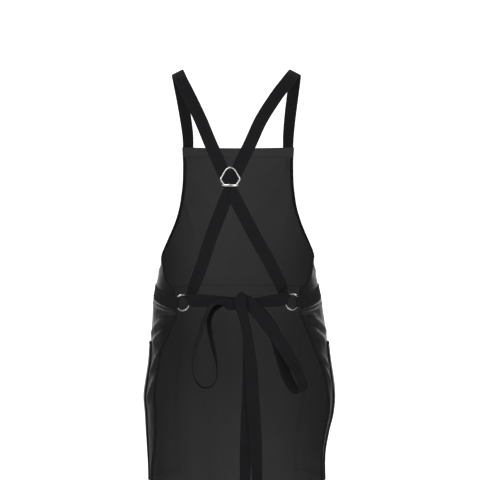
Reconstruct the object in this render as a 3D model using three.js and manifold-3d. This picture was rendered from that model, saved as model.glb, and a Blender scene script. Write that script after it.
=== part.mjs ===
// Canvas work apron with straps that cross on the back, in the shape it takes when worn.
// Millimetres, +Z up. The wearer faces +Y, so straps, rings and bow lie on the -Y side.
// The origin is midway between the tops of the two shoulder straps.
import * as THREE from "three";
import { mergeVertices } from "three/addons/utils/BufferGeometryUtils.js";
import Module from "manifold-3d";

// Driving sizes
const CANVAS_WALL = 1.4;
const TAPE_WALL = 1.6;
const TAPE_HALF = 12.7;
const SEWN_GAP = 0.5;
const BAND_GAP = 0.7;
const POCKET_GAP = 0.8;
const RING_WIRE = 1.7;
const RING_RADIUS = 15.95;
const RING_YAW = 35;
const RING_GAP = 0.7;
const FOLD_HALF = 10.6;
const CROSS_HALF = 10.2;
const KEEPER_WIRE = 1.7;
const KEEPER_X = -15.5;
const KEEPER_Y = -130;
const PANEL_COLUMNS = 32;
const PANEL_ROW = 30;
const SEAM_DROP = 5;
const SEAM_GAP = 0.4;
const SEAM_REACH = 130;
const FLUTE_COUNT = 7;
const FLUTE_HEIGHT = 5;

// Girth of the wrapped canvas at each height: half width, depth to the front and to the back,
// and how far the middle leans to +X
const GIRTH = [
  { z: -150, side: 165, front: 108, back: 116, lean: 0 },
  { z: -260, side: 160, front: 122, back: 122, lean: 0 },
  { z: -379, side: 157, front: 120, back: 120, lean: -1 },
  { z: -436, side: 166.5, front: 119, back: 114, lean: -2 },
  { z: -477, side: 174, front: 121, back: 112, lean: -1 },
  { z: -532, side: 180, front: 125, back: 117, lean: 1.5 },
  { z: -600, side: 187, front: 129, back: 122, lean: 3.5 },
  { z: -665, side: 195, front: 131, back: 124, lean: 3 },
  { z: -705, side: 192, front: 131.5, back: 122.5, lean: 2.6 },
  { z: -740, side: 186.5, front: 131, back: 120, lean: -0.8 },
  { z: -785, side: 181, front: 130, back: 117, lean: -3.4 },
  { z: -840, side: 179.5, front: 129, back: 114, lean: -2.4 },
  { z: -1000, side: 184, front: 128, back: 110, lean: 0 },
];

// Free side edges of the canvas, in degrees round from the middle of the front
const EDGES = [
  { z: -150, left: 45.5, right: 45.5 },
  { z: -190, left: 45.5, right: 45.5 },
  { z: -240, left: 47.5, right: 47.5 },
  { z: -290, left: 53, right: 53 },
  { z: -330, left: 63, right: 64 },
  { z: -360, left: 76, right: 79 },
  { z: -380, left: 91, right: 97 },
  { z: -398, left: 107.5, right: 107 },
  { z: -416, left: 115, right: 113.5 },
  { z: -430, left: 120, right: 120 },
  { z: -442, left: 128, right: 129 },
  { z: -452, left: 131.5, right: 131.5 },
  { z: -481, left: 131.2, right: 131.2 },
  { z: -493, left: 135.2, right: 135 },
  { z: -514, left: 132, right: 132.2 },
  { z: -543, left: 127.3, right: 127.5 },
  { z: -570, left: 121, right: 124.5 },
  { z: -597, left: 118.8, right: 118 },
  { z: -625, left: 117.8, right: 115 },
  { z: -660, left: 117.8, right: 112.5 },
  { z: -700, left: 118, right: 110.5 },
  { z: -760, left: 115.3, right: 109 },
  { z: -834, left: 107.5, right: 107.5 },
  { z: -915, left: 108, right: 107 },
  { z: -1000, left: 107, right: 107 },
];

// Drag folds that run forward and down from the rings
const DRAG_FOLDS = [
  { hand: -1, fromTurn: 122, fromZ: -508, toTurn: 95, toZ: -542, height: 3.8, reach: 7 },
  { hand: -1, fromTurn: 121, fromZ: -534, toTurn: 103.5, toZ: -560, height: 3.8, reach: 7.5 },
  { hand: 1, fromTurn: 122, fromZ: -504, toTurn: 95, toZ: -538, height: 3.8, reach: 7 },
  { hand: 1, fromTurn: 122, fromZ: -531, toTurn: 103.5, toZ: -557, height: 3.8, reach: 7.5 },
];

// Middle of the waist band round one side
const BAND_LINE = [
  { turn: 0, z: -438 },
  { turn: 60, z: -441 },
  { turn: 90, z: -449.5 },
  { turn: 116, z: -464 },
  { turn: 134.5, z: -472 },
  { turn: 145, z: -472 },
];

// Rings: hand of the side, height of the centre, and the turn of the wing's end
const RINGS = {
  left: { hand: -1, z: -472.5, turn: 134.5 },
  right: { hand: 1, z: -471, turn: 134.5 },
};

// Outline of the keeper's wire: corners in its own plane and the radius of each bend
const KEEPER_OUTLINE = [
  { x: -11.5, z: -237, bend: 3 },
  { x: 11.5, z: -237, bend: 3 },
  { x: 19.4, z: -225, bend: 4 },
  { x: 0, z: -189, bend: 13.5 },
  { x: -19.4, z: -225, bend: 4 },
];
const KEEPER_BAR = { long: 25, deep: 3.6, high: 5.2 };
const KEEPER_REACH = 15.3;
const KEEPER_REAR_WIRE = 1;

// Shoulder straps from the bib to the ring. Columns: place x y z and the way the face looks
const STRAP_FRONT = [
  { x: 107, y: 80, z: -122, nx: 0.45, ny: 0.89, nz: 0.08 },
  { x: 112, y: 68, z: -82, nx: 0.38, ny: 0.88, nz: 0.3 },
  { x: 118, y: 48, z: -43, nx: 0.36, ny: 0.7, nz: 0.62 },
  { x: 123, y: 24, z: -14, nx: 0.42, ny: 0.36, nz: 0.84 },
];
const STRAP_BACK_LEFT = [
  { x: -126, y: -6, z: 0.8, nx: -0.45, ny: -0.04, nz: 0.89 },
  { x: -121, y: -38, z: -8, nx: -0.42, ny: -0.45, nz: 0.79 },
  { x: -113.5, y: -66, z: -25, nx: -0.36, ny: -0.74, nz: 0.57 },
  { x: -97.5, y: -93, z: -57, nx: -0.27, ny: -0.89, nz: 0.37 },
  { x: -75, y: -112, z: -105, nx: -0.16, ny: -0.95, nz: 0.24 },
  { x: -55, y: -121, z: -153, nx: -0.08, ny: -0.99, nz: 0.13 },
  { x: -38.5, y: -125.5, z: -190, nx: 0, ny: -1, nz: 0.06 },
  { x: -25, y: -126.8, z: -221, nx: 0, ny: -1, nz: 0, half: 12 },
  { x: -16, y: -126.7, z: -240, nx: 0, ny: -1, nz: 0, half: CROSS_HALF },
  { x: -6.5, y: -127, z: -260, nx: 0, ny: -1, nz: 0, half: 12 },
  { x: 4, y: -127.3, z: -282, nx: 0.04, ny: -1, nz: -0.02 },
  { x: 38, y: -122, z: -346, nx: 0.12, ny: -1, nz: -0.05 },
  { x: 65, y: -113, z: -394, nx: 0.25, ny: -0.96, nz: -0.1 },
  { x: 86, y: -104, z: -436, nx: 0.44, ny: -0.89, nz: -0.1 },
];
const STRAP_BACK_RIGHT = [
  { x: 118.5, y: -6, z: 0.8, nx: 0.45, ny: -0.04, nz: 0.89 },
  { x: 111.5, y: -38, z: -8, nx: 0.42, ny: -0.45, nz: 0.79 },
  { x: 99.5, y: -66, z: -25, nx: 0.36, ny: -0.74, nz: 0.57 },
  { x: 76.5, y: -95, z: -57, nx: 0.24, ny: -0.9, nz: 0.37 },
  { x: 46.5, y: -113, z: -105, nx: 0.14, ny: -0.96, nz: 0.22 },
  { x: 24.5, y: -120.5, z: -153, nx: 0.06, ny: -0.99, nz: 0.12 },
  { x: 6.5, y: -123.6, z: -190, nx: 0, ny: -1, nz: 0.04 },
  { x: -7.5, y: -124.2, z: -221, nx: 0, ny: -1, nz: 0, half: 12 },
  { x: -16, y: -124.3, z: -240, nx: 0, ny: -1, nz: 0, half: CROSS_HALF },
  { x: -23.5, y: -124.3, z: -260, nx: 0, ny: -1, nz: 0, half: 12 },
  { x: -31.5, y: -124, z: -282, nx: -0.04, ny: -1, nz: -0.02 },
  { x: -56, y: -118.5, z: -346, nx: -0.15, ny: -1, nz: -0.05 },
  { x: -71.5, y: -111, z: -394, nx: -0.25, ny: -0.96, nz: -0.1 },
  { x: -87.5, y: -103, z: -436, nx: -0.44, ny: -0.89, nz: -0.1 },
];

// Waist ties from each ring to the knot. The ring turns the tape over, so its face looks inward here
const TIE_LEFT = [
  { x: -87, y: -106.5, z: -467.5, nx: 0.35, ny: 0.94, nz: 0 },
  { x: -70, y: -110, z: -468, nx: 0.24, ny: 0.97, nz: 0, half: 12.3 },
  { x: -36, y: -114.8, z: -468.6, nx: 0.12, ny: 0.99, nz: 0, half: 10.4 },
  { x: -18, y: -116, z: -468.6, nx: 0.06, ny: 1, nz: 0, half: 8.8 },
  { x: -2.8, y: -116.8, z: -470, nx: 0, ny: 1, nz: 0, half: 8.6 },
];
const TIE_RIGHT = [
  { x: 88, y: -106.5, z: -466, nx: -0.35, ny: 0.94, nz: 0 },
  { x: 74, y: -109.5, z: -467.3, nx: -0.24, ny: 0.97, nz: 0, half: 12.2 },
  { x: 50, y: -113.2, z: -470.3, nx: -0.12, ny: 0.99, nz: 0, half: 10.4 },
  { x: 33, y: -115.2, z: -471.2, nx: -0.06, ny: 1, nz: 0, half: 9.2 },
  { x: 18.1, y: -116.4, z: -470.5, nx: 0, ny: 1, nz: 0, half: 8.8 },
];

// Knot: middle and half sizes
const KNOT = { x: 8, y: -126.5, z: -470, wide: 12.4, deep: 11.6, high: 18.6 };

// Left loop: a hanging teardrop, its tape nearly edge on to the back
const LOOP_LEFT = [
  { x: -4.5, y: -132.5, z: -475, across: new THREE.Vector3(0, 0, -9) },
  { x: -18, y: -135.5, z: -475.5, nx: 0, ny: -0.97, nz: 0.24, half: 10.4 },
  { x: -29, y: -138, z: -470.5, nx: -0.05, ny: -0.55, nz: 0.83, half: 10.8 },
  { x: -40, y: -139.5, z: -469.3, nx: -0.2, ny: -0.42, nz: 0.88, half: 10.6 },
  { x: -52, y: -139.5, z: -475.5, nx: -0.55, ny: -0.36, nz: 0.75, half: 10.8 },
  { x: -61, y: -138.5, z: -490, nx: -0.8, ny: -0.34, nz: 0.5, half: 11.4 },
  { x: -69, y: -137, z: -510.5, nx: -0.87, ny: -0.35, nz: 0.34, half: 12.2 },
  { x: -76.5, y: -136, z: -534, nx: -0.9, ny: -0.34, nz: 0.28 },
  { x: -85.5, y: -135, z: -563, nx: -0.95, ny: -0.26, nz: 0.15 },
  { x: -90.8, y: -135, z: -590, nx: -1, ny: -0.1, nz: 0.05 },
  { x: -90.2, y: -135, z: -608, nx: -0.97, ny: -0.04, nz: -0.15 },
  { x: -85, y: -135, z: -625, nx: -0.82, ny: -0.02, nz: -0.5 },
  { x: -76, y: -135, z: -636.5, nx: -0.5, ny: 0, nz: -0.87 },
  { x: -63, y: -135, z: -640.8, nx: 0, ny: 0, nz: -1 },
  { x: -50.5, y: -135, z: -636, nx: 0.55, ny: 0, nz: -0.84 },
  { x: -43.5, y: -135, z: -622, nx: 0.9, ny: 0.03, nz: -0.4 },
  { x: -41.5, y: -135, z: -604, nx: 0.99, ny: 0.1, nz: 0 },
  { x: -44.5, y: -134.5, z: -582, nx: 0.97, ny: 0.22, nz: 0.12 },
  { x: -51, y: -133.5, z: -552.5, nx: 0.93, ny: 0.32, nz: 0.2 },
  { x: -55.8, y: -132, z: -528, nx: 0.92, ny: 0.37, nz: 0.12, half: 12 },
  { x: -57.3, y: -130, z: -507, nx: 0.88, ny: 0.45, nz: -0.02, half: 11 },
  { x: -53, y: -128, z: -489.5, nx: 0.65, ny: 0.66, nz: -0.38, half: 9.6 },
  { x: -41, y: -126.6, z: -475.5, nx: 0.3, ny: 0.87, nz: -0.4, half: 9 },
  { x: -26, y: -126.2, z: -470.5, nx: 0.1, ny: 0.97, nz: -0.2, half: 8 },
  { x: -4.9, y: -125.8, z: -478, across: new THREE.Vector3(0, 0, -8.6) },
];

// Right loop: two limbs that lean outward and turn as they part, round at the bottom
const LOOP_RIGHT = [
  { x: 20.8, y: -130.5, z: -466, across: new THREE.Vector3(0, 0, 11) },
  { x: 36, y: -133.5, z: -487, nx: 0, ny: -1, nz: 0.12 },
  { x: 51, y: -135.5, z: -505, nx: 0.02, ny: -1, nz: 0.06 },
  { x: 66, y: -136.5, z: -524, nx: 0.03, ny: -1, nz: 0 },
  { x: 82, y: -138.5, z: -547, nx: 0.12, ny: -1, nz: 0 },
  { x: 98, y: -141.5, z: -571, nx: 0.28, ny: -0.96, nz: 0 },
  { x: 113.5, y: -144, z: -597, nx: 0.53, ny: -0.85, nz: 0 },
  { x: 123.2, y: -144.5, z: -616, nx: 0.66, ny: -0.75, nz: 0 },
  { x: 129, y: -143, z: -632, nx: 0.66, ny: -0.7, nz: -0.2 },
  { x: 129, y: -137.5, z: -645, nx: 0.5, ny: -0.3, nz: -0.8 },
  { x: 121, y: -130, z: -650, nx: -0.05, ny: 0.25, nz: -0.97 },
  { x: 111.5, y: -125.5, z: -643, nx: -0.5, ny: 0.7, nz: -0.5 },
  { x: 103, y: -123.5, z: -629.5, nx: -0.64, ny: 0.77, nz: 0 },
  { x: 93.3, y: -122.5, z: -606, nx: -0.6, ny: 0.8, nz: 0 },
  { x: 87.5, y: -122.5, z: -580, nx: -0.33, ny: 0.94, nz: 0 },
  { x: 74, y: -123, z: -535, nx: -0.12, ny: 1, nz: 0 },
  { x: 52, y: -123.5, z: -501, nx: -0.02, ny: 1, nz: 0 },
  { x: 36, y: -123.3, z: -484, nx: 0, ny: 1, nz: 0 },
  { x: 20.8, y: -123.3, z: -474, across: new THREE.Vector3(0, 0, 11) },
];

// Free ends of the ties
const TAIL_FRONT = [
  { x: 7, y: -121, z: -450.7, nx: 0, ny: 0.25, nz: 0.97, half: 3.6 },
  { x: 7, y: -130.5, z: -450.2, nx: 0, ny: -0.3, nz: 0.95, half: 4 },
  { x: 6.2, y: -138, z: -454.5, nx: 0, ny: -0.85, nz: 0.5, half: 6.8 },
  { x: 4, y: -139.5, z: -468, nx: 0, ny: -1, nz: 0, half: 11.5 },
  { x: 8.5, y: -139.5, z: -486.5, nx: 0, ny: -0.98, nz: -0.15, half: 11.2 },
  { x: 13.5, y: -137.5, z: -507, nx: 0, ny: -0.98, nz: -0.15, half: 9.6 },
  { x: 19.5, y: -135, z: -538, nx: 0.04, ny: -0.99, nz: -0.1, half: 9.8 },
  { x: 23, y: -133.5, z: -567, nx: 0.05, ny: -1, nz: -0.04, half: 10.8 },
  { x: 26.5, y: -133, z: -608, nx: 0.06, ny: -1, nz: 0 },
  { x: 29.2, y: -133, z: -654, nx: 0.14, ny: -0.99, nz: 0 },
  { x: 33.8, y: -133.5, z: -716, nx: 0.3, ny: -0.95, nz: 0 },
  { x: 37, y: -134, z: -780, nx: 0.5, ny: -0.87, nz: 0 },
  { x: 38.3, y: -134.5, z: -830, nx: 0.6, ny: -0.8, nz: 0 },
  { x: 38.8, y: -134.5, z: -868, nx: 0.6, ny: -0.8, nz: 0 },
];
const TAIL_BACK = [
  { x: 9, y: -127, z: -489.3, across: new THREE.Vector3(9, 0, 0) },
  { x: 15, y: -127.5, z: -518, nx: 0, ny: -1, nz: 0.03, half: 9 },
  { x: 20.5, y: -127.5, z: -550, nx: 0, ny: -1, nz: 0, half: 10.4 },
  { x: 22.3, y: -128, z: -608, nx: -0.02, ny: -1, nz: 0 },
  { x: 20.8, y: -128.3, z: -654, nx: -0.05, ny: -1, nz: 0 },
  { x: 17.6, y: -128.6, z: -716, nx: -0.2, ny: -0.98, nz: 0 },
  { x: 15, y: -129, z: -780, nx: -0.46, ny: -0.88, nz: 0 },
  { x: 14.2, y: -129.5, z: -830, nx: -0.58, ny: -0.81, nz: 0 },
  { x: 14, y: -129.5, z: -856, nx: -0.58, ny: -0.81, nz: 0 },
];

// Patch pockets on the sides of the skirt, in degrees round from the front and in height
const POCKET = { fromTurn: 42, toTurn: 101, top: -556, bottom: -840, columns: 8, rows: 12, bulge: 2.5 };

const { clamp, degToRad, lerp, smoothstep } = THREE.MathUtils;

// Smooth reading of a table whose rows run in order of one key column
function readTable(table, key, value) {
  const rising = table[1][key] > table[0][key];
  let i = 0;
  while (i < table.length - 2 && (rising ? value > table[i + 1][key] : value < table[i + 1][key])) i += 1;
  const [a, b] = [table[i], table[i + 1]];
  const before = table[Math.max(i - 1, 0)];
  const after = table[Math.min(i + 2, table.length - 1)];
  const span = b[key] - a[key];
  const t = clamp((value - a[key]) / span, 0, 1);
  const row = {};
  for (const name of Object.keys(a)) {
    const slopeA = (b[name] - before[name]) / (b[key] - before[key]);
    const slopeB = (after[name] - a[name]) / (after[key] - a[key]);
    const [t2, t3] = [t * t, t * t * t];
    row[name] = (2 * t3 - 3 * t2 + 1) * a[name] + (t3 - 2 * t2 + t) * span * slopeA;
    row[name] += (3 * t2 - 2 * t3) * b[name] + (t3 - t2) * span * slopeB;
  }
  return row;
}

// Height of the main folds over the smooth canvas
function foldHeight(turn, z) {
  const arc = 160;
  let height = 0;
  for (const fold of DRAG_FOLDS) {
    const start = new THREE.Vector2(degToRad(fold.fromTurn * fold.hand) * arc, fold.fromZ);
    const run = new THREE.Vector2(degToRad(fold.toTurn * fold.hand) * arc, fold.toZ).sub(start);
    const here = new THREE.Vector2(degToRad(turn) * arc, z).sub(start);
    const along = here.dot(run) / run.lengthSq();
    const off = here.cross(run) / run.length();
    const ends = smoothstep(along, -0.15, 0.25) * (1 - smoothstep(along, 0.75, 1.15));
    height += fold.height * ends * Math.exp(-((off / fold.reach) ** 2));
  }
  const grow = smoothstep(-z, 600, 1000);
  return height + FLUTE_HEIGHT * grow * Math.cos(FLUTE_COUNT * degToRad(turn));
}

// A point on the canvas at a turn round from the front, a height and a distance out from it
function onCanvas(turn, z, out = 0) {
  const girth = readTable(GIRTH, "z", z);
  const angle = degToRad(turn);
  const depth = Math.cos(angle) > 0 ? girth.front : girth.back;
  const point = new THREE.Vector3(girth.lean + girth.side * Math.sin(angle), depth * Math.cos(angle), z);
  const normal = new THREE.Vector3(Math.sin(angle) / girth.side, Math.cos(angle) / depth, 0).normalize();
  return point.addScaledVector(normal, out + foldHeight(turn, z));
}

// A closed wall of even thickness on both sides of a grid of points
function wall(grid, thickness) {
  const rows = grid.length;
  const columns = grid[0].length;
  const at = (r, c) => grid[clamp(r, 0, rows - 1)][clamp(c, 0, columns - 1)];
  const [front, back] = [[], []];
  for (let r = 0; r < rows; r += 1) {
    for (let c = 0; c < columns; c += 1) {
      const across = at(r, c + 1).clone().sub(at(r, c - 1));
      const down = at(r + 1, c).clone().sub(at(r - 1, c));
      const normal = down.cross(across).normalize();
      front.push(...at(r, c).clone().addScaledVector(normal, thickness / 2).toArray());
      back.push(...at(r, c).clone().addScaledVector(normal, -thickness / 2).toArray());
    }
  }
  const half = rows * columns;
  const index = [];
  const quad = (a, b, c, d) => index.push(a, b, c, a, c, d);
  for (let r = 0; r < rows - 1; r += 1) {
    for (let c = 0; c < columns - 1; c += 1) {
      const i = r * columns + c;
      quad(i, i + columns, i + columns + 1, i + 1);
      quad(half + i, half + i + 1, half + i + columns + 1, half + i + columns);
    }
  }
  const rim = [];
  for (let c = 0; c < columns - 1; c += 1) rim.push(c);
  for (let r = 0; r < rows - 1; r += 1) rim.push(r * columns + columns - 1);
  for (let c = columns - 1; c > 0; c -= 1) rim.push((rows - 1) * columns + c);
  for (let r = rows - 1; r > 0; r -= 1) rim.push(r * columns);
  rim.forEach((i, n) => {
    const next = rim[(n + 1) % rim.length];
    quad(i, next, half + next, half + i);
  });
  const geometry = new THREE.BufferGeometry();
  geometry.setAttribute("position", new THREE.Float32BufferAttribute([...front, ...back], 3));
  geometry.setIndex(index);
  return geometry;
}

// A flat tape through stations, each with a middle, a half width vector and a dip of its edges
function tape(stations, steps) {
  const rows = stations.map((row, i) => {
    const middle = row.middle ?? new THREE.Vector3(row.x, row.y, row.z);
    return { ...row, middle, order: i };
  });
  rows.forEach((row) => {
    const next = rows[Math.min(row.order + 1, rows.length - 1)].middle;
    const last = rows[Math.max(row.order - 1, 0)].middle;
    const along = next.clone().sub(last).normalize();
    const face = new THREE.Vector3(row.nx ?? 0, row.ny ?? 0, row.nz ?? 0);
    const across = row.across ?? face.cross(along).normalize().multiplyScalar(row.half ?? TAPE_HALF);
    const dip = row.dip ?? new THREE.Vector3();
    const sides = [across.clone().negate().add(dip), across.clone().add(dip)];
    row.edges = row.ends ?? sides.map((side) => side.add(row.middle));
  });
  const curve = (points) => new THREE.CatmullRomCurve3(points, false, "catmullrom", 0.5);
  const left = curve(rows.map((row) => row.edges[0]));
  const middle = curve(rows.map((row) => row.middle));
  const right = curve(rows.map((row) => row.edges[1]));
  const count = (rows.length - 1) * steps;
  const grid = [];
  for (let i = 0; i <= count; i += 1) {
    const t = i / count;
    grid.push([left.getPoint(t), middle.getPoint(t), right.getPoint(t)]);
  }
  return wall(grid, TAPE_WALL);
}

// The centre of a ring and its directions: along the back, out from the body and up
function ringFrame(ring) {
  const yaw = degToRad(RING_YAW);
  const along = new THREE.Vector3(-ring.hand * Math.cos(yaw), -Math.sin(yaw), 0);
  const out = new THREE.Vector3(ring.hand * Math.sin(yaw), -Math.cos(yaw), 0);
  const centre = onCanvas(ring.hand * ring.turn, ring.z).addScaledVector(along, RING_RADIUS);
  const place = (u, v, d) =>
    centre.clone().addScaledVector(along, u).addScaledVector(out, d).add(new THREE.Vector3(0, 0, v));
  return { along, out, centre, place };
}

// Distance that a tape's edges move in as it bunches on a round ring
const FOLD_DIP = RING_RADIUS - Math.sqrt(RING_RADIUS ** 2 - FOLD_HALF ** 2);
const FOLD_DEPTH = RING_WIRE + RING_GAP + TAPE_WALL / 2;
const FOLD_LENGTH = FOLD_DEPTH + 1;

// Stations of a strap that comes down behind a ring's inner wire and returns in front of it
function strapFold(ring) {
  const { along, place } = ringFrame(ring);
  const lean = degToRad(24);
  const radial = along.clone().multiplyScalar(Math.cos(lean)).add(new THREE.Vector3(0, 0, Math.sin(lean)));
  const up = along.clone().multiplyScalar(-Math.sin(lean)).add(new THREE.Vector3(0, 0, Math.cos(lean)));
  const [u, v] = [RING_RADIUS * Math.cos(lean), RING_RADIUS * Math.sin(lean)];
  const flat = new THREE.Vector3(0, 0, 1);
  const slant = along.clone().multiplyScalar(-0.86).add(new THREE.Vector3(0, 0, 0.5)).normalize();
  const edge = (direction, half) => direction.clone().multiplyScalar(ring.hand * half);
  const dip = (share) => radial.clone().multiplyScalar(-FOLD_DIP * share);
  const inner = radial.clone().multiplyScalar(-FOLD_LENGTH);
  const blend = slant.clone().lerp(up, 0.55).normalize();
  return [
    { middle: place(u + 6.2, v + 17.5, -FOLD_DEPTH), across: edge(slant, TAPE_HALF) },
    { middle: place(u + 3, v + 6.5, -FOLD_DEPTH), across: edge(blend, 11.6), dip: dip(0.6) },
    { middle: place(u, v, -FOLD_DEPTH), across: edge(up, FOLD_HALF), dip: dip(1) },
    { middle: place(u, v, 0).add(inner), across: edge(up, FOLD_HALF), dip: dip(1) },
    { middle: place(u, v, FOLD_DEPTH), across: edge(up, FOLD_HALF), dip: dip(1) },
    { middle: place(u + 5, v - 0.6, FOLD_DEPTH + 0.4), across: edge(up.lerp(flat, 0.5), 11.4), dip: dip(0.5) },
  ];
}

// The strap's sewn end on the bib, then the way over the shoulder
function strapFront(hand, shoulder) {
  const out = CANVAS_WALL / 2 + SEWN_GAP + TAPE_WALL / 2;
  const sewn = [-196, -174, -152].map((z, i) => {
    const middle = onCanvas(hand * (38.6 + 0.5 * i), z, out);
    return { middle, nx: hand * 0.53, ny: 0.85, nz: 0 };
  });
  const shift = Math.abs(shoulder) - 125;
  const rise = STRAP_FRONT.map((row, i) => ({
    ...row,
    x: hand * (row.x + shift * (i / STRAP_FRONT.length)),
    nx: hand * row.nx,
  }));
  return [...sewn, ...rise];
}

// How far the waist line at a turn lies over its ends at the rings
function waistRise(turn) {
  return readTable(BAND_LINE, "turn", Math.abs(turn)).z - BAND_LINE[BAND_LINE.length - 1].z;
}

// Canvas between two heights of its side edges. Rows near the waist seam follow the waist line
function canvasPiece(top, bottom) {
  const seam = BAND_LINE[BAND_LINE.length - 1].z - SEAM_DROP;
  const marks = [top, ...EDGES.map((row) => row.z).filter((z) => z < top - 3 && z > bottom + 3), bottom];
  const heights = [top];
  for (let i = 1; i < marks.length; i += 1) {
    const count = Math.ceil((marks[i - 1] - marks[i]) / PANEL_ROW);
    for (let n = 1; n <= count; n += 1) heights.push(lerp(marks[i - 1], marks[i], n / count));
  }
  const grid = heights.map((z) => {
    const pull = 1 - smoothstep(Math.abs(z - seam), 0, SEAM_REACH);
    const reach = (side) => {
      let turn = readTable(EDGES, "z", z)[side];
      for (let pass = 0; pass < 3; pass += 1) turn = readTable(EDGES, "z", z + pull * waistRise(turn))[side];
      return turn;
    };
    const [left, right] = [reach("left"), reach("right")];
    const row = [];
    for (let c = PANEL_COLUMNS; c >= 0; c -= 1) {
      const share = (2 * c) / PANEL_COLUMNS - 1;
      const turn = share * (share < 0 ? left : right);
      row.push(onCanvas(turn, z + pull * waistRise(turn)));
    }
    return row;
  });
  return wall(grid, CANVAS_WALL);
}

// Patch pocket that follows the canvas and bulges a little
function hipPocket(hand) {
  const grid = [];
  for (let r = 0; r <= POCKET.rows; r += 1) {
    const row = [];
    for (let c = 0; c <= POCKET.columns; c += 1) {
      const share = hand > 0 ? 1 - c / POCKET.columns : c / POCKET.columns;
      const turn = lerp(POCKET.fromTurn, POCKET.toTurn, share);
      const z = lerp(POCKET.top, POCKET.bottom, r / POCKET.rows);
      const swell = Math.sin(Math.PI * share) * Math.sin((Math.PI * (r + 2)) / (POCKET.rows + 2));
      row.push(onCanvas(hand * turn, z, CANVAS_WALL + POCKET_GAP + POCKET.bulge * swell));
    }
    grid.push(row);
  }
  return wall(grid, CANVAS_WALL);
}

// Band round the waist. Each end goes through its ring and back inside the wing
function waistBand() {
  const out = CANVAS_WALL / 2 + BAND_GAP + TAPE_WALL / 2;
  const onBand = (hand, turn, offset, half) => {
    const { z } = readTable(BAND_LINE, "turn", turn);
    const ends = [z - half, z + half].map((height) => onCanvas(hand * turn, height, offset));
    return { middle: onCanvas(hand * turn, z, offset), ends };
  };
  const end = (ring) => {
    const { along, place } = ringFrame(ring);
    const up = new THREE.Vector3(0, 0, FOLD_HALF);
    const dip = along.clone().multiplyScalar(FOLD_DIP);
    const turnStation = (u, d, share) => ({
      middle: place(-RING_RADIUS + u, 0, d), across: up, dip: dip.clone().multiplyScalar(share),
    });
    const inside = [122, 127].map((turn) => onBand(ring.hand, turn, -out, FOLD_HALF + 1));
    return [
      ...inside,
      turnStation(-2.5, -FOLD_DEPTH, 0.8),
      turnStation(0, -FOLD_DEPTH, 1),
      turnStation(FOLD_LENGTH, 0, 1),
      turnStation(0, FOLD_DEPTH, 1),
      turnStation(-2.5, FOLD_DEPTH, 0.8),
    ];
  };
  const outside = [];
  for (let turn = -126; turn <= 126; turn += 12) {
    outside.push(onBand(Math.sign(turn) || 1, Math.abs(turn), out, TAPE_HALF));
  }
  return tape([...end(RINGS.left), ...outside, ...end(RINGS.right).reverse()], 2);
}

// Steel O-ring
function steelRing(ring) {
  const { out, centre } = ringFrame(ring);
  const up = new THREE.Vector3(0, 0, 1);
  const basis = new THREE.Matrix4().makeBasis(up.clone().cross(out), up, out).setPosition(centre);
  return new THREE.TorusGeometry(RING_RADIUS, RING_WIRE, 8, 26).applyMatrix4(basis);
}

const wasm = await Module();
wasm.setup();

// A closed three.js geometry as a solid that can be joined
function solid(geometry) {
  const bare = new THREE.BufferGeometry();
  bare.setAttribute("position", geometry.getAttribute("position").clone());
  if (geometry.index) bare.setIndex(geometry.index.clone());
  const merged = mergeVertices(bare, 1e-3);
  const vertProperties = new Float32Array(merged.getAttribute("position").array);
  const triVerts = new Uint32Array(merged.index.array);
  return new wasm.Manifold(new wasm.Mesh({ numProp: 3, vertProperties, triVerts }));
}

function fromSolid(body) {
  const mesh = body.getMesh();
  const geometry = new THREE.BufferGeometry();
  geometry.setAttribute("position", new THREE.Float32BufferAttribute(Array.from(mesh.vertProperties), 3));
  geometry.setIndex(Array.from(mesh.triVerts));
  return geometry;
}

// Wire with a round section along an open path
function wire(points, radius, steps) {
  const section = new THREE.Shape().absarc(0, 0, radius, 0, 2 * Math.PI);
  const extrudePath = new THREE.CatmullRomCurve3(points, false, "centripetal");
  return new THREE.ExtrudeGeometry(section, { extrudePath, steps, curveSegments: 4 });
}

// Wire bent to a closed loop in the XZ plane
function wireLoop(points, radius, sides) {
  const grid = points.map((point, i) => {
    const next = points[(i + 1) % points.length];
    const last = points[(i + points.length - 1) % points.length];
    const along = next.clone().sub(last).normalize();
    const aside = new THREE.Vector2(along.y, -along.x);
    const circle = [];
    for (let s = 0; s < sides; s += 1) {
      const angle = (2 * Math.PI * s) / sides;
      const out = radius * Math.cos(angle);
      circle.push(point.x + aside.x * out, radius * Math.sin(angle), point.y + aside.y * out);
    }
    return circle;
  });
  const index = [];
  points.forEach((_, i) => {
    for (let s = 0; s < sides; s += 1) {
      const j = (i + 1) % points.length;
      const t = (s + 1) % sides;
      index.push(i * sides + s, i * sides + t, j * sides + t, i * sides + s, j * sides + t, j * sides + s);
    }
  });
  const geometry = new THREE.BufferGeometry();
  geometry.setAttribute("position", new THREE.Float32BufferAttribute(grid.flat(), 3));
  geometry.setIndex(index);
  return geometry;
}

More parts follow.
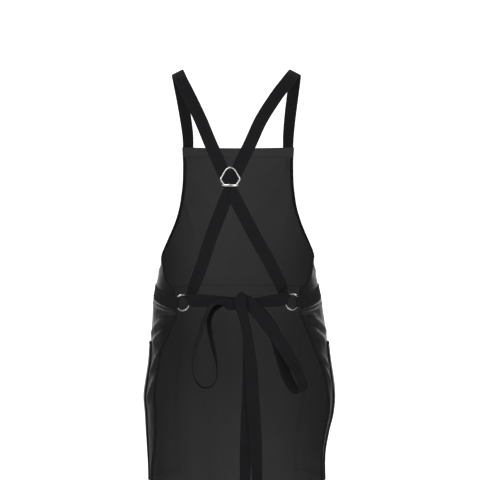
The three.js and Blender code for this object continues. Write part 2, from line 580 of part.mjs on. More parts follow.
// Keeper of the crossing: bent wire, flat lower bar and a plain wire round the back of the straps
function crossKeeper() {
  const corners = KEEPER_OUTLINE.map(({ x, z }) => new THREE.Vector2(x, z));
  const base = corners[0].y;
  const outline = new THREE.Shape();
  corners.forEach((point, i) => {
    const toLast = corners.at(i - 1).clone().sub(point).normalize();
    const toNext = corners[(i + 1) % corners.length].clone().sub(point).normalize();
    const trim = KEEPER_OUTLINE[i].bend / Math.tan(Math.acos(toLast.dot(toNext)) / 2);
    const start = point.clone().addScaledVector(toLast, trim);
    const end = point.clone().addScaledVector(toNext, trim);
    const bend = 0.58;
    const lead = start.clone().lerp(point, bend);
    const tail = end.clone().lerp(point, bend);
    if (i === 0) outline.moveTo(start.x, start.y);
    else outline.lineTo(start.x, start.y);
    outline.bezierCurveTo(lead.x, lead.y, tail.x, tail.y, end.x, end.y);
  });
  outline.closePath();
  const loop = wireLoop(outline.getPoints(4).slice(0, -1), KEEPER_WIRE, 8);
  const bar = new THREE.BoxGeometry(KEEPER_BAR.long, KEEPER_BAR.deep, KEEPER_BAR.high).translate(0, 0, base);
  const arms = new THREE.CylinderGeometry(KEEPER_REAR_WIRE, KEEPER_REAR_WIRE, 2 * KEEPER_REACH, 8);
  arms.rotateZ(Math.PI / 2).translate(0, 0, base);
  const [backX, backY, turnY, frontY] = [13.1, 8.7, 6.6, 0.4];
  const half = [[backX, backY], [KEEPER_REACH, turnY], [KEEPER_REACH, frontY]];
  const mirrored = half.map(([x, y]) => [-x, y]).reverse();
  const rear = wire([...mirrored, ...half].map(([x, y]) => new THREE.Vector3(x, y, base)), KEEPER_REAR_WIRE, 12);
  const joined = solid(loop).add(solid(bar)).add(solid(arms)).add(solid(rear));
  return fromSolid(joined).translate(KEEPER_X, KEEPER_Y, 0);
}

// Knot as a rounded block
function bowKnot() {
  const geometry = new THREE.SphereGeometry(1, 16, 10);
  const position = geometry.getAttribute("position");
  const round = (value) => Math.sign(value) * Math.abs(value) ** 0.62;
  for (let i = 0; i < position.count; i += 1) {
    const [x, y, z] = [position.getX(i), position.getY(i), position.getZ(i)];
    position.setXYZ(i, KNOT.wide * round(x), KNOT.deep * round(-z), KNOT.high * round(y));
  }
  return geometry.translate(KNOT.x, KNOT.y, KNOT.z);
}

const canvas = { color: 0x232426, roughness: 0.5, metalness: 0 };
const webbing = { color: 0x1b1c1f, roughness: 0.85, metalness: 0 };
const steel = { color: 0xc9cacc, roughness: 0.25, metalness: 1 };

const apron = new THREE.Group();
function add(name, geometry, look) {
  const mesh = new THREE.Mesh(geometry, new THREE.MeshStandardMaterial(look));
  mesh.name = name;
  apron.add(mesh);
}

const [topEdge, hem] = [EDGES[0].z, EDGES[EDGES.length - 1].z];
const seamEnd = BAND_LINE[BAND_LINE.length - 1].z - SEAM_DROP;
add("apron_bib", canvasPiece(topEdge, seamEnd + SEAM_GAP / 2), canvas);
add("apron_skirt", canvasPiece(seamEnd - SEAM_GAP / 2, hem), canvas);
add("hip_pocket_left", hipPocket(-1), canvas);
add("hip_pocket_right", hipPocket(1), canvas);
add("waist_band", waistBand(), webbing);
add("ring_left", steelRing(RINGS.left), steel);
add("ring_right", steelRing(RINGS.right), steel);
const strapLeft = [...strapFront(-1, -126), ...STRAP_BACK_LEFT, ...strapFold(RINGS.right), ...TIE_RIGHT];
const strapRight = [...strapFront(1, 118.5), ...STRAP_BACK_RIGHT, ...strapFold(RINGS.left), ...TIE_LEFT];
add("strap_left", tape(strapLeft, 2), webbing);
add("strap_right", tape(strapRight, 2), webbing);
add("cross_keeper", crossKeeper(), steel);
add("bow_knot", bowKnot(), webbing);
add("bow_loop_left", tape(LOOP_LEFT, 2), webbing);
add("bow_loop_right", tape(LOOP_RIGHT, 2), webbing);
add("tie_tail_front", tape(TAIL_FRONT, 2), webbing);
add("tie_tail_back", tape(TAIL_BACK, 2), webbing);

export default apron;
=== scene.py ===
"""Canvas work apron: cloth, webbing, stitches and metal in place of the solids. Sizes in millimetres."""
import math

import bpy
import numpy as np
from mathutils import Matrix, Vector


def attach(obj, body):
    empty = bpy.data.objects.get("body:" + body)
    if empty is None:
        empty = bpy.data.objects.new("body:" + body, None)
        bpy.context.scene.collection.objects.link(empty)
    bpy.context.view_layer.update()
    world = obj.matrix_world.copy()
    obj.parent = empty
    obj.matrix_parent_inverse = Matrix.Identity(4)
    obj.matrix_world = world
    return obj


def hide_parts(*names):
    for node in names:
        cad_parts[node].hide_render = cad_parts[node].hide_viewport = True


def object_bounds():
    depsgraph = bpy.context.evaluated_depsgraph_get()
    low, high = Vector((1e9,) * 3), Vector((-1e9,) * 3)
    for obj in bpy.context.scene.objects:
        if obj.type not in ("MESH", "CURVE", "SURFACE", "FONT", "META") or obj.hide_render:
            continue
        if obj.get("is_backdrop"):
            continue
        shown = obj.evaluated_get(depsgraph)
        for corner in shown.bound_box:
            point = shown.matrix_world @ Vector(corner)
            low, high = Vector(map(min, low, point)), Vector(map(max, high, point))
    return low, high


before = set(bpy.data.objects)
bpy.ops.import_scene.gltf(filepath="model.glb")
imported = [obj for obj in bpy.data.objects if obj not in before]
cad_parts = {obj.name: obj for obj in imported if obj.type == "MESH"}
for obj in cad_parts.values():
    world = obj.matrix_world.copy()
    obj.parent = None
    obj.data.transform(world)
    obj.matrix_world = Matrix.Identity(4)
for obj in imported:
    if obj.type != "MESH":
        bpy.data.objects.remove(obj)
cad_box = [list(corner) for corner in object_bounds()]

MM = 0.001
UP = np.array([0.0, 0.0, 1.0])
AHEAD = np.array([0.0, 1.0, 0.0])


def columns(names, rows):
    """A table as one array for each named column."""
    return dict(zip(names.split(), np.array(rows, float).T))


# Driving sizes
CANVAS_WALL = 1.4
HALF_WALL = CANVAS_WALL / 2
TAPE_WALL = 1.6
TAPE_HALF = 12.7
SEWN_GAP = 0.5
BAND_LIFT = 0.25
BAND_OUTSIDE = HALF_WALL + BAND_LIFT + TAPE_WALL
RING_WIRE = 1.7
RING_RADIUS = 15.95
RING_YAW = 35
RING_GAP = 0.7
FOLD_HALF = 10.6
FOLD_DIP = RING_RADIUS - math.sqrt(RING_RADIUS**2 - FOLD_HALF**2)
FOLD_DEPTH = RING_WIRE + RING_GAP + TAPE_WALL / 2
FOLD_LENGTH = FOLD_DEPTH + 1
STRAP_LEAN = 24
CROSS_HALF = 10.2
SEAM_DROP = 5
SEAM_GAP = 0.4
SEAM_REACH = 130
FLUTE_COUNT = 7
FLUTE_HEIGHT = 5
FLUTE_DEPTHS = (600, 1000)

# Nominal radius of the canvas, which turns an angle round it into a length
ARC = 160
ROW_POINTS = 260

# Keeper: outline of its wire with the radius of each bend, its bar and the right half of its rear wire
KEEPER_WIRE = 1.7
KEEPER_REAR_WIRE = 1
KEEPER_REACH = 15.3
KEEPER_PLACE = np.array([-15.5, -130, 0])
KEEPER_BAR = {"length": 25, "deep": 3.6, "high": 5.2, "edge": 1.1}
KEEPER_OUTLINE = columns("x z bend", [
    (-11.5, -237, 3),
    (11.5, -237, 3),
    (19.4, -225, 4),
    (0, -189, 13.5),
    (-19.4, -225, 4),
])
KEEPER_REAR = [
    (10, 0, 0),
    (KEEPER_REACH - 1.4, 0, 0),
    (KEEPER_REACH, 1.2, 0),
    (KEEPER_REACH, 6.6, 0),
    (13.1, 8.7, 0),
]

# Girth of the wrapped canvas at each height
GIRTH = columns("z side front back lean", [
    (-150, 165, 108, 116, 0),
    (-260, 160, 122, 122, 0),
    (-379, 157, 120, 120, -1),
    (-436, 166.5, 119, 114, -2),
    (-477, 174, 121, 112, -1),
    (-532, 180, 125, 117, 1.5),
    (-600, 187, 129, 122, 3.5),
    (-665, 195, 131, 124, 3),
    (-705, 192, 131.5, 122.5, 2.6),
    (-740, 186.5, 131, 120, -0.8),
    (-785, 181, 130, 117, -3.4),
    (-840, 179.5, 129, 114, -2.4),
    (-1000, 184, 128, 110, 0),
])

# Free side edges of the canvas, in degrees round from the middle of the front
EDGES = columns("z left right", [
    (-150, 45.5, 45.5),
    (-190, 45.5, 45.5),
    (-240, 47.5, 47.5),
    (-290, 53, 53),
    (-330, 63, 64),
    (-360, 76, 79),
    (-380, 91, 97),
    (-398, 107.5, 107),
    (-416, 115, 113.5),
    (-430, 120, 120),
    (-442, 128, 129),
    (-452, 131.5, 131.5),
    (-481, 131.2, 131.2),
    (-493, 135.2, 135),
    (-514, 132, 132.2),
    (-543, 127.3, 127.5),
    (-570, 121, 124.5),
    (-597, 118.8, 118),
    (-625, 117.8, 115),
    (-660, 117.8, 112.5),
    (-700, 118, 110.5),
    (-760, 115.3, 109),
    (-834, 107.5, 107.5),
    (-915, 108, 107),
    (-1000, 107, 107),
])

# Main drag folds, then fine ones: hand, from turn and height, to turn and height, height of the fold, reach
DRAG_FOLDS = [
    (-1, 122, -508, 95, -542, 3.8, 7),
    (-1, 121, -534, 103.5, -560, 3.8, 7.5),
    (1, 122, -504, 95, -538, 3.8, 7),
    (1, 122, -531, 103.5, -557, 3.8, 7.5),
]
FINE_FOLDS = [
    (-1, 118, -573, 102, -626, 3.0, 6),
    (-1, 115.5, -627, 103, -682, 3.0, 7),
    (-1, 130, -493, 114, -503, 1.0, 3),
    (-1, 129, -508, 113, -524, 1.0, 3),
    (1, 118, -578, 95, -622, 2.6, 5),
    (1, 113, -605, 97, -668, 2.6, 5),
    (1, 130, -492, 114, -502, 1.0, 3),
    (1, 129, -507, 113, -523, 1.0, 3),
    (-1, 104, -402, 70, -420, 1.6, 5),
    (1, 106, -402, 72, -418, 1.6, 5),
    (-1, 38, -205, 12, -300, 1.6, 9),
    (1, 38, -205, 12, -300, 1.6, 9),
    (-1, 46, -250, 34, -345, 1.4, 7),
    (1, 46, -250, 34, -345, 1.4, 7),
    (-1, 12, -640, 15, -985, 2.6, 13),
    (-1, 31, -690, 36, -985, 2.4, 11),
    (1, 6, -720, 8, -990, 2.2, 12),
    (1, 27, -610, 31, -985, 2.8, 13),
]

BAND_LINE = columns("turn z", [
    (0, -438),
    (60, -441),
    (90, -449.5),
    (116, -464),
    (134.5, -472),
    (145, -472),
])
BAND_END = -472
SEAM_END = BAND_END - SEAM_DROP

# Hand of the side, height of the centre and turn of the wing's end
RING_LEFT = (-1, -472.5, 134.5)
RING_RIGHT = (1, -471, 134.5)

# Tapes. Columns: place x y z, the way the face looks and, where it isn't full, the half width
STRAP_FRONT = [
    (107, 80, -122, 0.45, 0.89, 0.08),
    (112, 68, -82, 0.38, 0.88, 0.3),
    (118, 48, -43, 0.36, 0.7, 0.62),
    (123, 24, -14, 0.42, 0.36, 0.84),
]
STRAP_BACK_LEFT = [
    (-126, -6, 0.8, -0.45, -0.04, 0.89),
    (-121, -38, -8, -0.42, -0.45, 0.79),
    (-113.5, -66, -25, -0.36, -0.74, 0.57),
    (-97.5, -93, -57, -0.27, -0.89, 0.37),
    (-75, -112, -105, -0.16, -0.95, 0.24),
    (-55, -121, -153, -0.08, -0.99, 0.13),
    (-38.5, -125.5, -190, 0, -1, 0.06),
    (-25, -126.8, -221, 0, -1, 0, 12),
    (-16, -126.7, -240, 0, -1, 0, CROSS_HALF),
    (-6.5, -127, -260, 0, -1, 0, 12),
    (4, -127.3, -282, 0.04, -1, -0.02),
    (38, -122, -346, 0.12, -1, -0.05),
    (65, -113, -394, 0.25, -0.96, -0.1),
    (86, -104, -436, 0.44, -0.89, -0.1),
]
STRAP_BACK_RIGHT = [
    (118.5, -6, 0.8, 0.45, -0.04, 0.89),
    (111.5, -38, -8, 0.42, -0.45, 0.79),
    (99.5, -66, -25, 0.36, -0.74, 0.57),
    (76.5, -95, -57, 0.24, -0.9, 0.37),
    (46.5, -113, -105, 0.14, -0.96, 0.22),
    (24.5, -120.5, -153, 0.06, -0.99, 0.12),
    (6.5, -123.6, -190, 0, -1, 0.04),
    (-7.5, -124.2, -221, 0, -1, 0, 12),
    (-16, -124.3, -240, 0, -1, 0, CROSS_HALF),
    (-23.5, -124.3, -260, 0, -1, 0, 12),
    (-31.5, -124, -282, -0.04, -1, -0.02),
    (-56, -118.5, -346, -0.15, -1, -0.05),
    (-71.5, -111, -394, -0.25, -0.96, -0.1),
    (-87.5, -103, -436, -0.44, -0.89, -0.1),
]
TIE_LEFT = [
    (-87, -106.5, -467.5, 0.35, 0.94, 0),
    (-70, -110, -468, 0.24, 0.97, 0, 12.3),
    (-36, -114.8, -468.6, 0.12, 0.99, 0, 10.4),
    (-18, -116, -468.6, 0.06, 1, 0, 8.8),
    (-2.8, -116.8, -470, 0, 1, 0, 8.6),
]
TIE_RIGHT = [
    (88, -106.5, -466, -0.35, 0.94, 0),
    (74, -109.5, -467.3, -0.24, 0.97, 0, 12.2),
    (50, -113.2, -470.3, -0.12, 0.99, 0, 10.4),
    (33, -115.2, -471.2, -0.06, 1, 0, 9.2),
    (18.1, -116.4, -470.5, 0, 1, 0, 8.8),
]
LOOP_LEFT = [
    (-2, -132.5, -475, 0, -1, 0, 9),
    (-18, -135.5, -475.5, 0, -0.97, 0.24, 10.4),
    (-29, -138, -470.5, -0.05, -0.55, 0.83, 10.8),
    (-40, -139.5, -469.3, -0.2, -0.42, 0.88, 10.6),
    (-52, -139.5, -475.5, -0.55, -0.36, 0.75, 10.8),
    (-61, -138.5, -490, -0.8, -0.34, 0.5, 11.4),
    (-69, -137, -510.5, -0.87, -0.35, 0.34, 12.2),
    (-76.5, -136, -534, -0.9, -0.34, 0.28),
    (-85.5, -135, -563, -0.95, -0.26, 0.15),
    (-90.8, -135, -590, -1, -0.1, 0.05),
    (-90.2, -135, -608, -0.97, -0.04, -0.15),
    (-85, -135, -625, -0.82, -0.02, -0.5),
    (-76, -135, -636.5, -0.5, 0, -0.87),
    (-63, -135, -640.8, 0, 0, -1),
    (-50.5, -135, -636, 0.55, 0, -0.84),
    (-43.5, -135, -622, 0.9, 0.03, -0.4),
    (-41.5, -135, -604, 0.99, 0.1, 0),
    (-44.5, -134.5, -582, 0.97, 0.22, 0.12),
    (-51, -133.5, -552.5, 0.93, 0.32, 0.2),
    (-55.8, -132, -528, 0.92, 0.37, 0.12, 12),
    (-57.3, -130, -507, 0.88, 0.45, -0.02, 11),
    (-53, -128, -489.5, 0.65, 0.66, -0.38, 9.6),
    (-41, -126.6, -475.5, 0.3, 0.87, -0.4, 9),
    (-26, -126.2, -470.5, 0.1, 0.97, -0.2, 8),
    (-2, -125.8, -478, 0, 1, 0, 8.6),
]
LOOP_RIGHT = [
    (4, -129, -458, 0, -1, 0, 6),
    (19.8, -130.5, -467.5, 0, -1, 0, 11),
    (36, -133.5, -487, 0, -1, 0.12),
    (51, -135.5, -505, 0.02, -1, 0.06),
    (66, -136.5, -524, 0.03, -1, 0),
    (82, -138.5, -547, 0.12, -1, 0),
    (98, -141.5, -571, 0.28, -0.96, 0),
    (113.5, -144, -597, 0.53, -0.85, 0),
    (123.2, -144.5, -616, 0.66, -0.75, 0),
    (129, -143, -632, 0.66, -0.7, -0.2),
    (129, -137.5, -645, 0.5, -0.3, -0.8),
    (121, -130, -650, -0.05, 0.25, -0.97),
    (111.5, -125.5, -643, -0.5, 0.7, -0.5),
    (103, -123.5, -629.5, -0.64, 0.77, 0),
    (93.3, -122.5, -606, -0.6, 0.8, 0),
    (87.5, -122.5, -580, -0.33, 0.94, 0),
    (74, -123, -535, -0.12, 1, 0),
    (52, -123.5, -501, -0.02, 1, 0),
    (36, -123.3, -484, 0, 1, 0),
    (19.8, -123.3, -474, 0, 1, 0, 11),
]
TAIL_FRONT = [
    (7, -121, -450.7, 0, 0.25, 0.97, 3.6),
    (7, -130.5, -450.2, 0, -0.3, 0.95, 4),
    (6.2, -138, -454.5, 0, -0.85, 0.5, 6.8),
    (4, -139.5, -468, 0, -1, 0, 11.5),
    (8.5, -139.5, -486.5, 0, -0.98, -0.15, 11.2),
    (13.5, -137.5, -507, 0, -0.98, -0.15, 9.6),
    (19.5, -135, -538, 0.04, -0.99, -0.1, 9.8),
    (23, -133.5, -567, 0.05, -1, -0.04, 10.8),
    (26.5, -133, -608, 0.06, -1, 0),
    (29.2, -133, -654, 0.14, -0.99, 0),
    (33.8, -133.5, -716, 0.3, -0.95, 0),
    (37, -134, -780, 0.5, -0.87, 0),
    (38.3, -134.5, -830, 0.6, -0.8, 0),
    (38.8, -134.5, -868, 0.6, -0.8, 0),
]
TAIL_BACK = [
    (9, -127, -488, 0, -1, 0, 9),
    (15, -127.5, -518, 0, -1, 0.03, 9),
    (20.5, -127.5, -550, 0, -1, 0, 10.4),
    (22.3, -128, -608, -0.02, -1, 0),
    (20.8, -128.3, -654, -0.05, -1, 0),
    (17.6, -128.6, -716, -0.2, -0.98, 0),
    (15, -129, -780, -0.46, -0.88, 0),
    (14.2, -129.5, -830, -0.58, -0.81, 0),
    (14, -129.5, -856, -0.58, -0.81, 0),
]

# Sewn end of a strap on the bib: heights, lowest turn, turn added at each next height, and the way it faces
SEWN_HEIGHTS = (-196, -174, -152)
SEWN_TURN = 38.6
SEWN_LEAN = 0.5
SEWN_FACE = np.array([0.53, 0.85, 0])

# Place across of the shoulder for which STRAP_FRONT is written
SHOULDER_X = 125

# Box stitch: distances of its ends along the strap, its half width as a share, and depth of its inner face
BOX_STITCH = (4, 38, 0.78)
BOX_THROUGH = 2.8

# Knot: place and half sizes, share that its core fills, and creases by depth, number and shift
KNOT = {"middle": np.array([8, -126.5, -470]), "half": np.array([12.4, 11.6, 18.6]), "fill": 0.93}
KNOT_POWER = 0.62
KNOT_SLOPE = np.array([3.2, 0, 7.5])
KNOT_CREASES = [(0.045, 2.1, 0), (0.03, 4.3, 3)]

# Pockets: reach in turn and height, distances out from the canvas, and places in shares of their size
POCKET = {"from_turn": 42, "to_turn": 101, "top": -556, "bottom": -840, "width": 150}
POCKET_OUT = {"sewn": 1.55, "ease": 0.65, "bulge": 2.5, "crumple": 0.4, "stitches": 2.6, "through": 3.4}
POCKET_HEM = {"fold": 0.9, "ends": (0.07, 0.085), "stitches": 0.064, "stitch_lift": 1.05}
POCKET_CLEAR = {"front": 6, "rear": 5, "above": 11, "below": 10}
POCKET_INSETS = (0.018, 0.05)

# Turned hems: thickness of the fold, where it ends and where its stitches run, from the free edge
HEM_FOLD = 1.3
BIB_HEM = {"ends": (19.5, 21), "stitches": 17.5}
SKIRT_HEM = {"ends": (20.5, 22), "stitches": 18}

# Felled ridge below the seam, by depth: two round crests, the flat between them and the rows of stitches
FELL = {"crests": (11.2, 18.6), "half": 1.9, "high": 1.3, "flat": 0.3, "from": (7.5, 9.5), "to": (20, 22)}
FELL_STITCHES = (14.9, 22.2)

# Stitches of the band: rows along it and bars across its ends
BAND_STITCH = {"offset": 10.4, "to_turn": 124, "bars": (114, 121), "bar_half": 10}

# Folded bindings of the canvas and of the pockets: inward from the edge and out
EDGE_BINDING = [
    (6.4, 1.2), (5.6, 1.5), (3, 1.6), (0.6, 1.5), (-0.6, 1.05), (-1, 0), (-0.6, -1.05), (0.6, -1.5),
    (3, -1.6), (5.6, -1.5), (6.4, -1.2), (6.4, -0.78), (0.2, -0.78), (0.2, 0.78), (6.4, 0.78),
]
POCKET_BINDING = [
    (6, 0.7), (6, 1.15), (5.2, 1.4), (3, 1.5), (0.6, 1.4),
    (-0.6, 0.9), (-1, 0), (-0.6, -0.6), (0, -0.72), (0, 0.7),
]
BINDING_STITCH = 4.6
BINDING_OUT = 1.6

# Wrinkles: height, spans round and down, seed. Creases and puckers: heights and spans
WRINKLES = [(0.55, 46, 60, 3), (0.28, 17, 24, 4)]
CREASES = {"high": 0.8, "sharp": 0.16, "wide": 44, "tall": 70}
PUCKERS = {"high": 0.35, "pitch": 3.1, "wander": 2.5, "below": 26, "fade": 22}
BAND_CLEAR = (20, 34)

# Shares of a fold's length over which it rises and sinks
FADE_IN = (-0.15, 0.25)
FADE_OUT = (0.75, 1.15)


def smooth(x, low, high):
    """Smooth step from 0 at a low value to 1 at a high one."""
    t = np.clip((x - low) / (high - low), 0, 1)
    return t * t * (3 - 2 * t)


def unit(v):
    return v / np.maximum(np.linalg.norm(v, axis=-1, keepdims=True), 1e-12)


def path_lengths(points):
    """Length from the start of a path to each of its points."""
    return np.concatenate([[0], np.cumsum(np.linalg.norm(np.diff(points, axis=0), axis=1))])


def read_path(values, lengths, at):
    """Values that belong to lengths along a path, read at other lengths."""
    return np.stack([np.interp(at, lengths, column) for column in values.T], -1)


def read_table(table, key, value):
    """Smooth reading of a table at values of its key column."""
    keys = table[key]
    value = np.asarray(value, float)
    sign = 1 if keys[1] > keys[0] else -1
    i = np.clip(np.searchsorted(sign * keys, sign * value, side="right") - 1, 0, len(keys) - 2)
    before = np.maximum(i - 1, 0)
    after = np.minimum(i + 2, len(keys) - 1)
    span = keys[i + 1] - keys[i]
    t = np.clip((value - keys[i]) / span, 0, 1)
    row = {}
    for name, column in table.items():
        slope_a = (column[i + 1] - column[before]) / (keys[i + 1] - keys[before])
        slope_b = (column[after] - column[i]) / (keys[after] - keys[i])
        row[name] = (2 * t**3 - 3 * t**2 + 1) * column[i] + (t**3 - 2 * t**2 + t) * span * slope_a
        row[name] += (3 * t**2 - 2 * t**3) * column[i + 1] + (t**3 - t**2) * span * slope_b
    return row


def cloth_noise(x, y, seed):
    """Smooth seeded noise from -1 to 1 with one random value per unit square."""
    size = 64
    values = np.random.default_rng(seed).uniform(-1, 1, (size, size))
    i, j = np.floor(x).astype(int), np.floor(y).astype(int)
    u, v = smooth(x - i, 0, 1), smooth(y - j, 0, 1)
    corner = lambda a, b: values[(i + a) % size, (j + b) % size]
    near = corner(0, 0) * (1 - u) + corner(1, 0) * u
    far = corner(0, 1) * (1 - u) + corner(1, 1) * u
    return near * (1 - v) + far * v


def ridges(turn, z, rows):
    """Height of folds that run between two points of the canvas."""
    height = np.zeros(np.broadcast(turn, z).shape)
    for hand, from_turn, from_z, to_turn, to_z, tall, reach in rows:
        start = math.radians(from_turn * hand) * ARC
        run_x, run_z = math.radians(to_turn * hand) * ARC - start, to_z - from_z
        here_x, here_z = np.radians(turn) * ARC - start, z - from_z
        length = math.hypot(run_x, run_z)
        along = (here_x * run_x + here_z * run_z) / length**2
        off = (here_x * run_z - here_z * run_x) / length
        ends = smooth(along, *FADE_IN) * (1 - smooth(along, *FADE_OUT))
        height = height + tall * ends * np.exp(-((off / reach) ** 2))
    return height


def on_canvas(turn, z, out=0.0):
    """Points of the canvas at turns round from the front, heights and distances out from it."""
    turn, z, out = np.broadcast_arrays(*(np.asarray(part, float) for part in (turn, z, out)))
    girth = read_table(GIRTH, "z", z)
    across, ahead = np.sin(np.radians(turn)), np.cos(np.radians(turn))
    depth = np.where(ahead > 0, girth["front"], girth["back"])
    point = np.stack([girth["lean"] + girth["side"] * across, depth * ahead, z], -1)
    normal = unit(np.stack([across / girth["side"], ahead / depth, np.zeros_like(z)], -1))
    flutes = FLUTE_HEIGHT * smooth(-z, *FLUTE_DEPTHS) * np.cos(FLUTE_COUNT * np.radians(turn))
    return point + normal * (out + ridges(turn, z, DRAG_FOLDS) + flutes)[..., None]


def band_height(turn):
    return read_table(BAND_LINE, "turn", np.abs(turn))["z"]


def row_level(z, turn):
    """Heights along a canvas row, which follows the band's line when it is near the seam."""
    pull = 1 - float(smooth(abs(z - SEAM_END), 0, SEAM_REACH))
    return z + pull * (band_height(turn) - BAND_END)


def row_turns(z, count, margin=0.0):
    """Turns along a canvas row, from its right free edge to its left one."""
    ends = []
    for side in ("right", "left"):
        turn = read_table(EDGES, "z", z)[side]
        for _ in range(4):
            turn = read_table(EDGES, "z", row_level(z, turn))[side]
        ends.append(float(turn))
    return np.linspace(ends[0] - margin, margin - ends[1], count)


def fine_cloth(turn, z):
    """Small wrinkles of the canvas, none of them under the band or the pockets."""
    arc = np.radians(turn) * ARC
    size = sum(high * cloth_noise(arc / wide, z / tall, seed) for high, wide, tall, seed in WRINKLES)
    slant = (arc + 0.7 * z) / CREASES["wide"], (z - 0.5 * arc) / CREASES["tall"]
    crease = np.exp(-((np.abs(cloth_noise(*slant, 7)) / CREASES["sharp"]) ** 2))
    size = size + CREASES["high"] * crease * (0.6 + 0.4 * cloth_noise(arc / 80, z / 90, 8))
    below = band_height(turn) - z
    wander = PUCKERS["wander"] * cloth_noise(arc / 25, z / 40, 5)
    fade = np.exp(-np.abs(below - PUCKERS["below"]) / PUCKERS["fade"])
    size = size + PUCKERS["high"] * (np.sin(arc / PUCKERS["pitch"] + wander) * fade)
    size = size + ridges(turn, z, FINE_FOLDS)
    side = np.abs(turn)
    first, last = POCKET["from_turn"], POCKET["to_turn"]
    top, bottom = -POCKET["top"], -POCKET["bottom"]
    in_turn = smooth(side, first - POCKET_CLEAR["front"], first)
    in_turn = in_turn * (1 - smooth(side, last, last + POCKET_CLEAR["rear"]))
    in_height = smooth(-z, top - POCKET_CLEAR["above"], top)
    in_height = in_height * (1 - smooth(-z, bottom, bottom + POCKET_CLEAR["below"]))
    return size * smooth(np.abs(below), *BAND_CLEAR) * (1 - in_turn * in_height)


def mesh_piece(name, points, faces, materials, flat=None, wear=None):
    """A smooth mesh object from points in millimetres, with its flat lay in metres as UV."""
    mesh = bpy.data.meshes.new(name)
    mesh.from_pydata((np.asarray(points) * MM).tolist(), [], [list(map(int, face)) for face in faces])
    mesh.polygons.foreach_set("use_smooth", np.ones(len(mesh.polygons), bool))
    for material in materials:
        mesh.materials.append(material)
    if flat is not None:
        corners = np.zeros(len(mesh.loops), np.int32)
        mesh.loops.foreach_get("vertex_index", corners)
        lay = (np.asarray(flat)[corners] * MM).astype(np.float32)
        mesh.uv_layers.new(name="flat").data.foreach_set("uv", lay.ravel())
    if wear is not None:
        rubbed = mesh.attributes.new("wear", "FLOAT", "POINT")
        rubbed.data.foreach_set("value", np.asarray(wear, np.float32))
    mesh.update()
    piece = bpy.data.objects.new(name, mesh)
    bpy.context.scene.collection.objects.link(piece)
    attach(piece, "root")
    return piece


def stand_in(node):
    """Hide a solid whose place a piece takes."""
    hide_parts(node)


def grid_frame(grid):
    """Directions of a grid of points: across its columns, down its rows and out of its face."""
    across = unit(np.gradient(grid, axis=1))
    down = unit(np.gradient(grid, axis=0))
    return across, down, unit(np.cross(down, across))


def cloth_wall(name, grid, outer, inner, wear, materials):
    """A closed thin wall with a rounded rim. Outer and inner are its faces' distances from the grid."""
    rim_round = 0.35
    rows, cols = grid.shape[:2]
    count = rows * cols
    across, down, normal = grid_frame(grid)
    outer, inner = np.broadcast_to(outer, (rows, cols)), np.broadcast_to(inner, (rows, cols))
    front, back = grid + normal * outer[..., None], grid - normal * inner[..., None]
    ids = np.arange(count).reshape(rows, cols)
    cells = [ids[:-1, :-1], ids[1:, :-1], ids[1:, 1:], ids[:-1, 1:]]
    front_faces = np.stack(cells, -1).reshape(-1, 4)
    back_faces = front_faces[:, ::-1] + count
    rim = np.concatenate([ids[0, :-1], ids[:-1, -1], ids[-1, :0:-1], ids[:0:-1, 0]])
    away = np.zeros_like(grid)
    away[0] -= down[0]
    away[-1] += down[-1]
    away[:, 0] -= across[:, 0]
    away[:, -1] += across[:, -1]
    middle = (front + back) / 2 + unit(away) * (rim_round * (outer + inner))[..., None]
    first = 2 * count + np.arange(len(rim))
    after, first_after = np.roll(rim, -1), np.roll(first, -1)
    upper = np.stack([rim, after, first_after, first], -1)
    lower = np.stack([first, first_after, after + count, rim + count], -1)
    steps = np.linalg.norm(np.diff(grid, axis=1), axis=-1)
    u = np.concatenate([np.zeros((rows, 1)), np.cumsum(steps, 1)], 1)
    u = u - u[:, cols // 2:cols // 2 + 1]
    v = np.broadcast_to(path_lengths(grid[:, cols // 2])[:, None], (rows, cols))
    flat = np.stack([u, v], -1).reshape(-1, 2)
    points = np.concatenate([front.reshape(-1, 3), back.reshape(-1, 3), middle.reshape(-1, 3)[rim]])
    faces = np.concatenate([front_faces, back_faces, upper, lower])
    flat = np.concatenate([flat, flat, flat[rim]])
    worn = np.concatenate([wear.ravel(), wear.ravel(), wear.ravel()[rim]])
    piece = mesh_piece(name, points, faces, materials, flat, worn)
    inside = np.repeat([0, len(materials) - 1, 0], [len(front_faces), len(back_faces), 2 * len(rim)])
    piece.data.polygons.foreach_set("material_index", inside.astype(np.int32))
    return piece


def shell_faces(rows, cols, closed=False):
    """Faces of rows of points round a path, with an end face at each end or closed on itself."""
    ids = np.arange(rows * cols).reshape(rows, cols)
    if closed:
        ids = np.vstack([ids, ids[:1]])
    after = np.roll(ids, -1, 1)
    sides = np.stack([ids[:-1], after[:-1], after[1:], ids[1:]], -1).reshape(-1, 4).tolist()
    return sides if closed else [*sides, ids[0, ::-1].tolist(), ids[-1].tolist()]


def binding(name, path, inward, normal, section):
    """Folded webbing along an edge. The section is in pairs: inward and out."""
    section = np.asarray(section, float)
    points = path[:, None] + inward[:, None] * section[None, :, :1] + normal[:, None] * section[None, :, 1:]
    faces = shell_faces(len(path), len(section))
    if np.sum(np.cross(inward, normal) * np.gradient(path, axis=0)) < 0:
        faces = [face[::-1] for face in faces]
    lay = np.broadcast_arrays(path_lengths(section)[None], path_lengths(path)[:, None])
    return mesh_piece(name, points.reshape(-1, 3), faces, [WEBBING], np.stack(lay, -1).reshape(-1, 2))


def catmull(points, share):
    """A smooth curve through points, read at shares of its spans."""
    spans = len(points) - 1
    padded = np.vstack([2 * points[0] - points[1], points, 2 * points[-1] - points[-2]])
    at = np.clip(share * spans, 0, spans - 1e-9)
    i = at.astype(int)
    t = (at - i)[:, None]
    a, b, c, d = padded[i], padded[i + 1], padded[i + 2], padded[i + 3]
    return b + 0.5 * t * (c - a + t * (2 * a - 5 * b + 4 * c - d + t * (3 * (b - c) + d - a)))


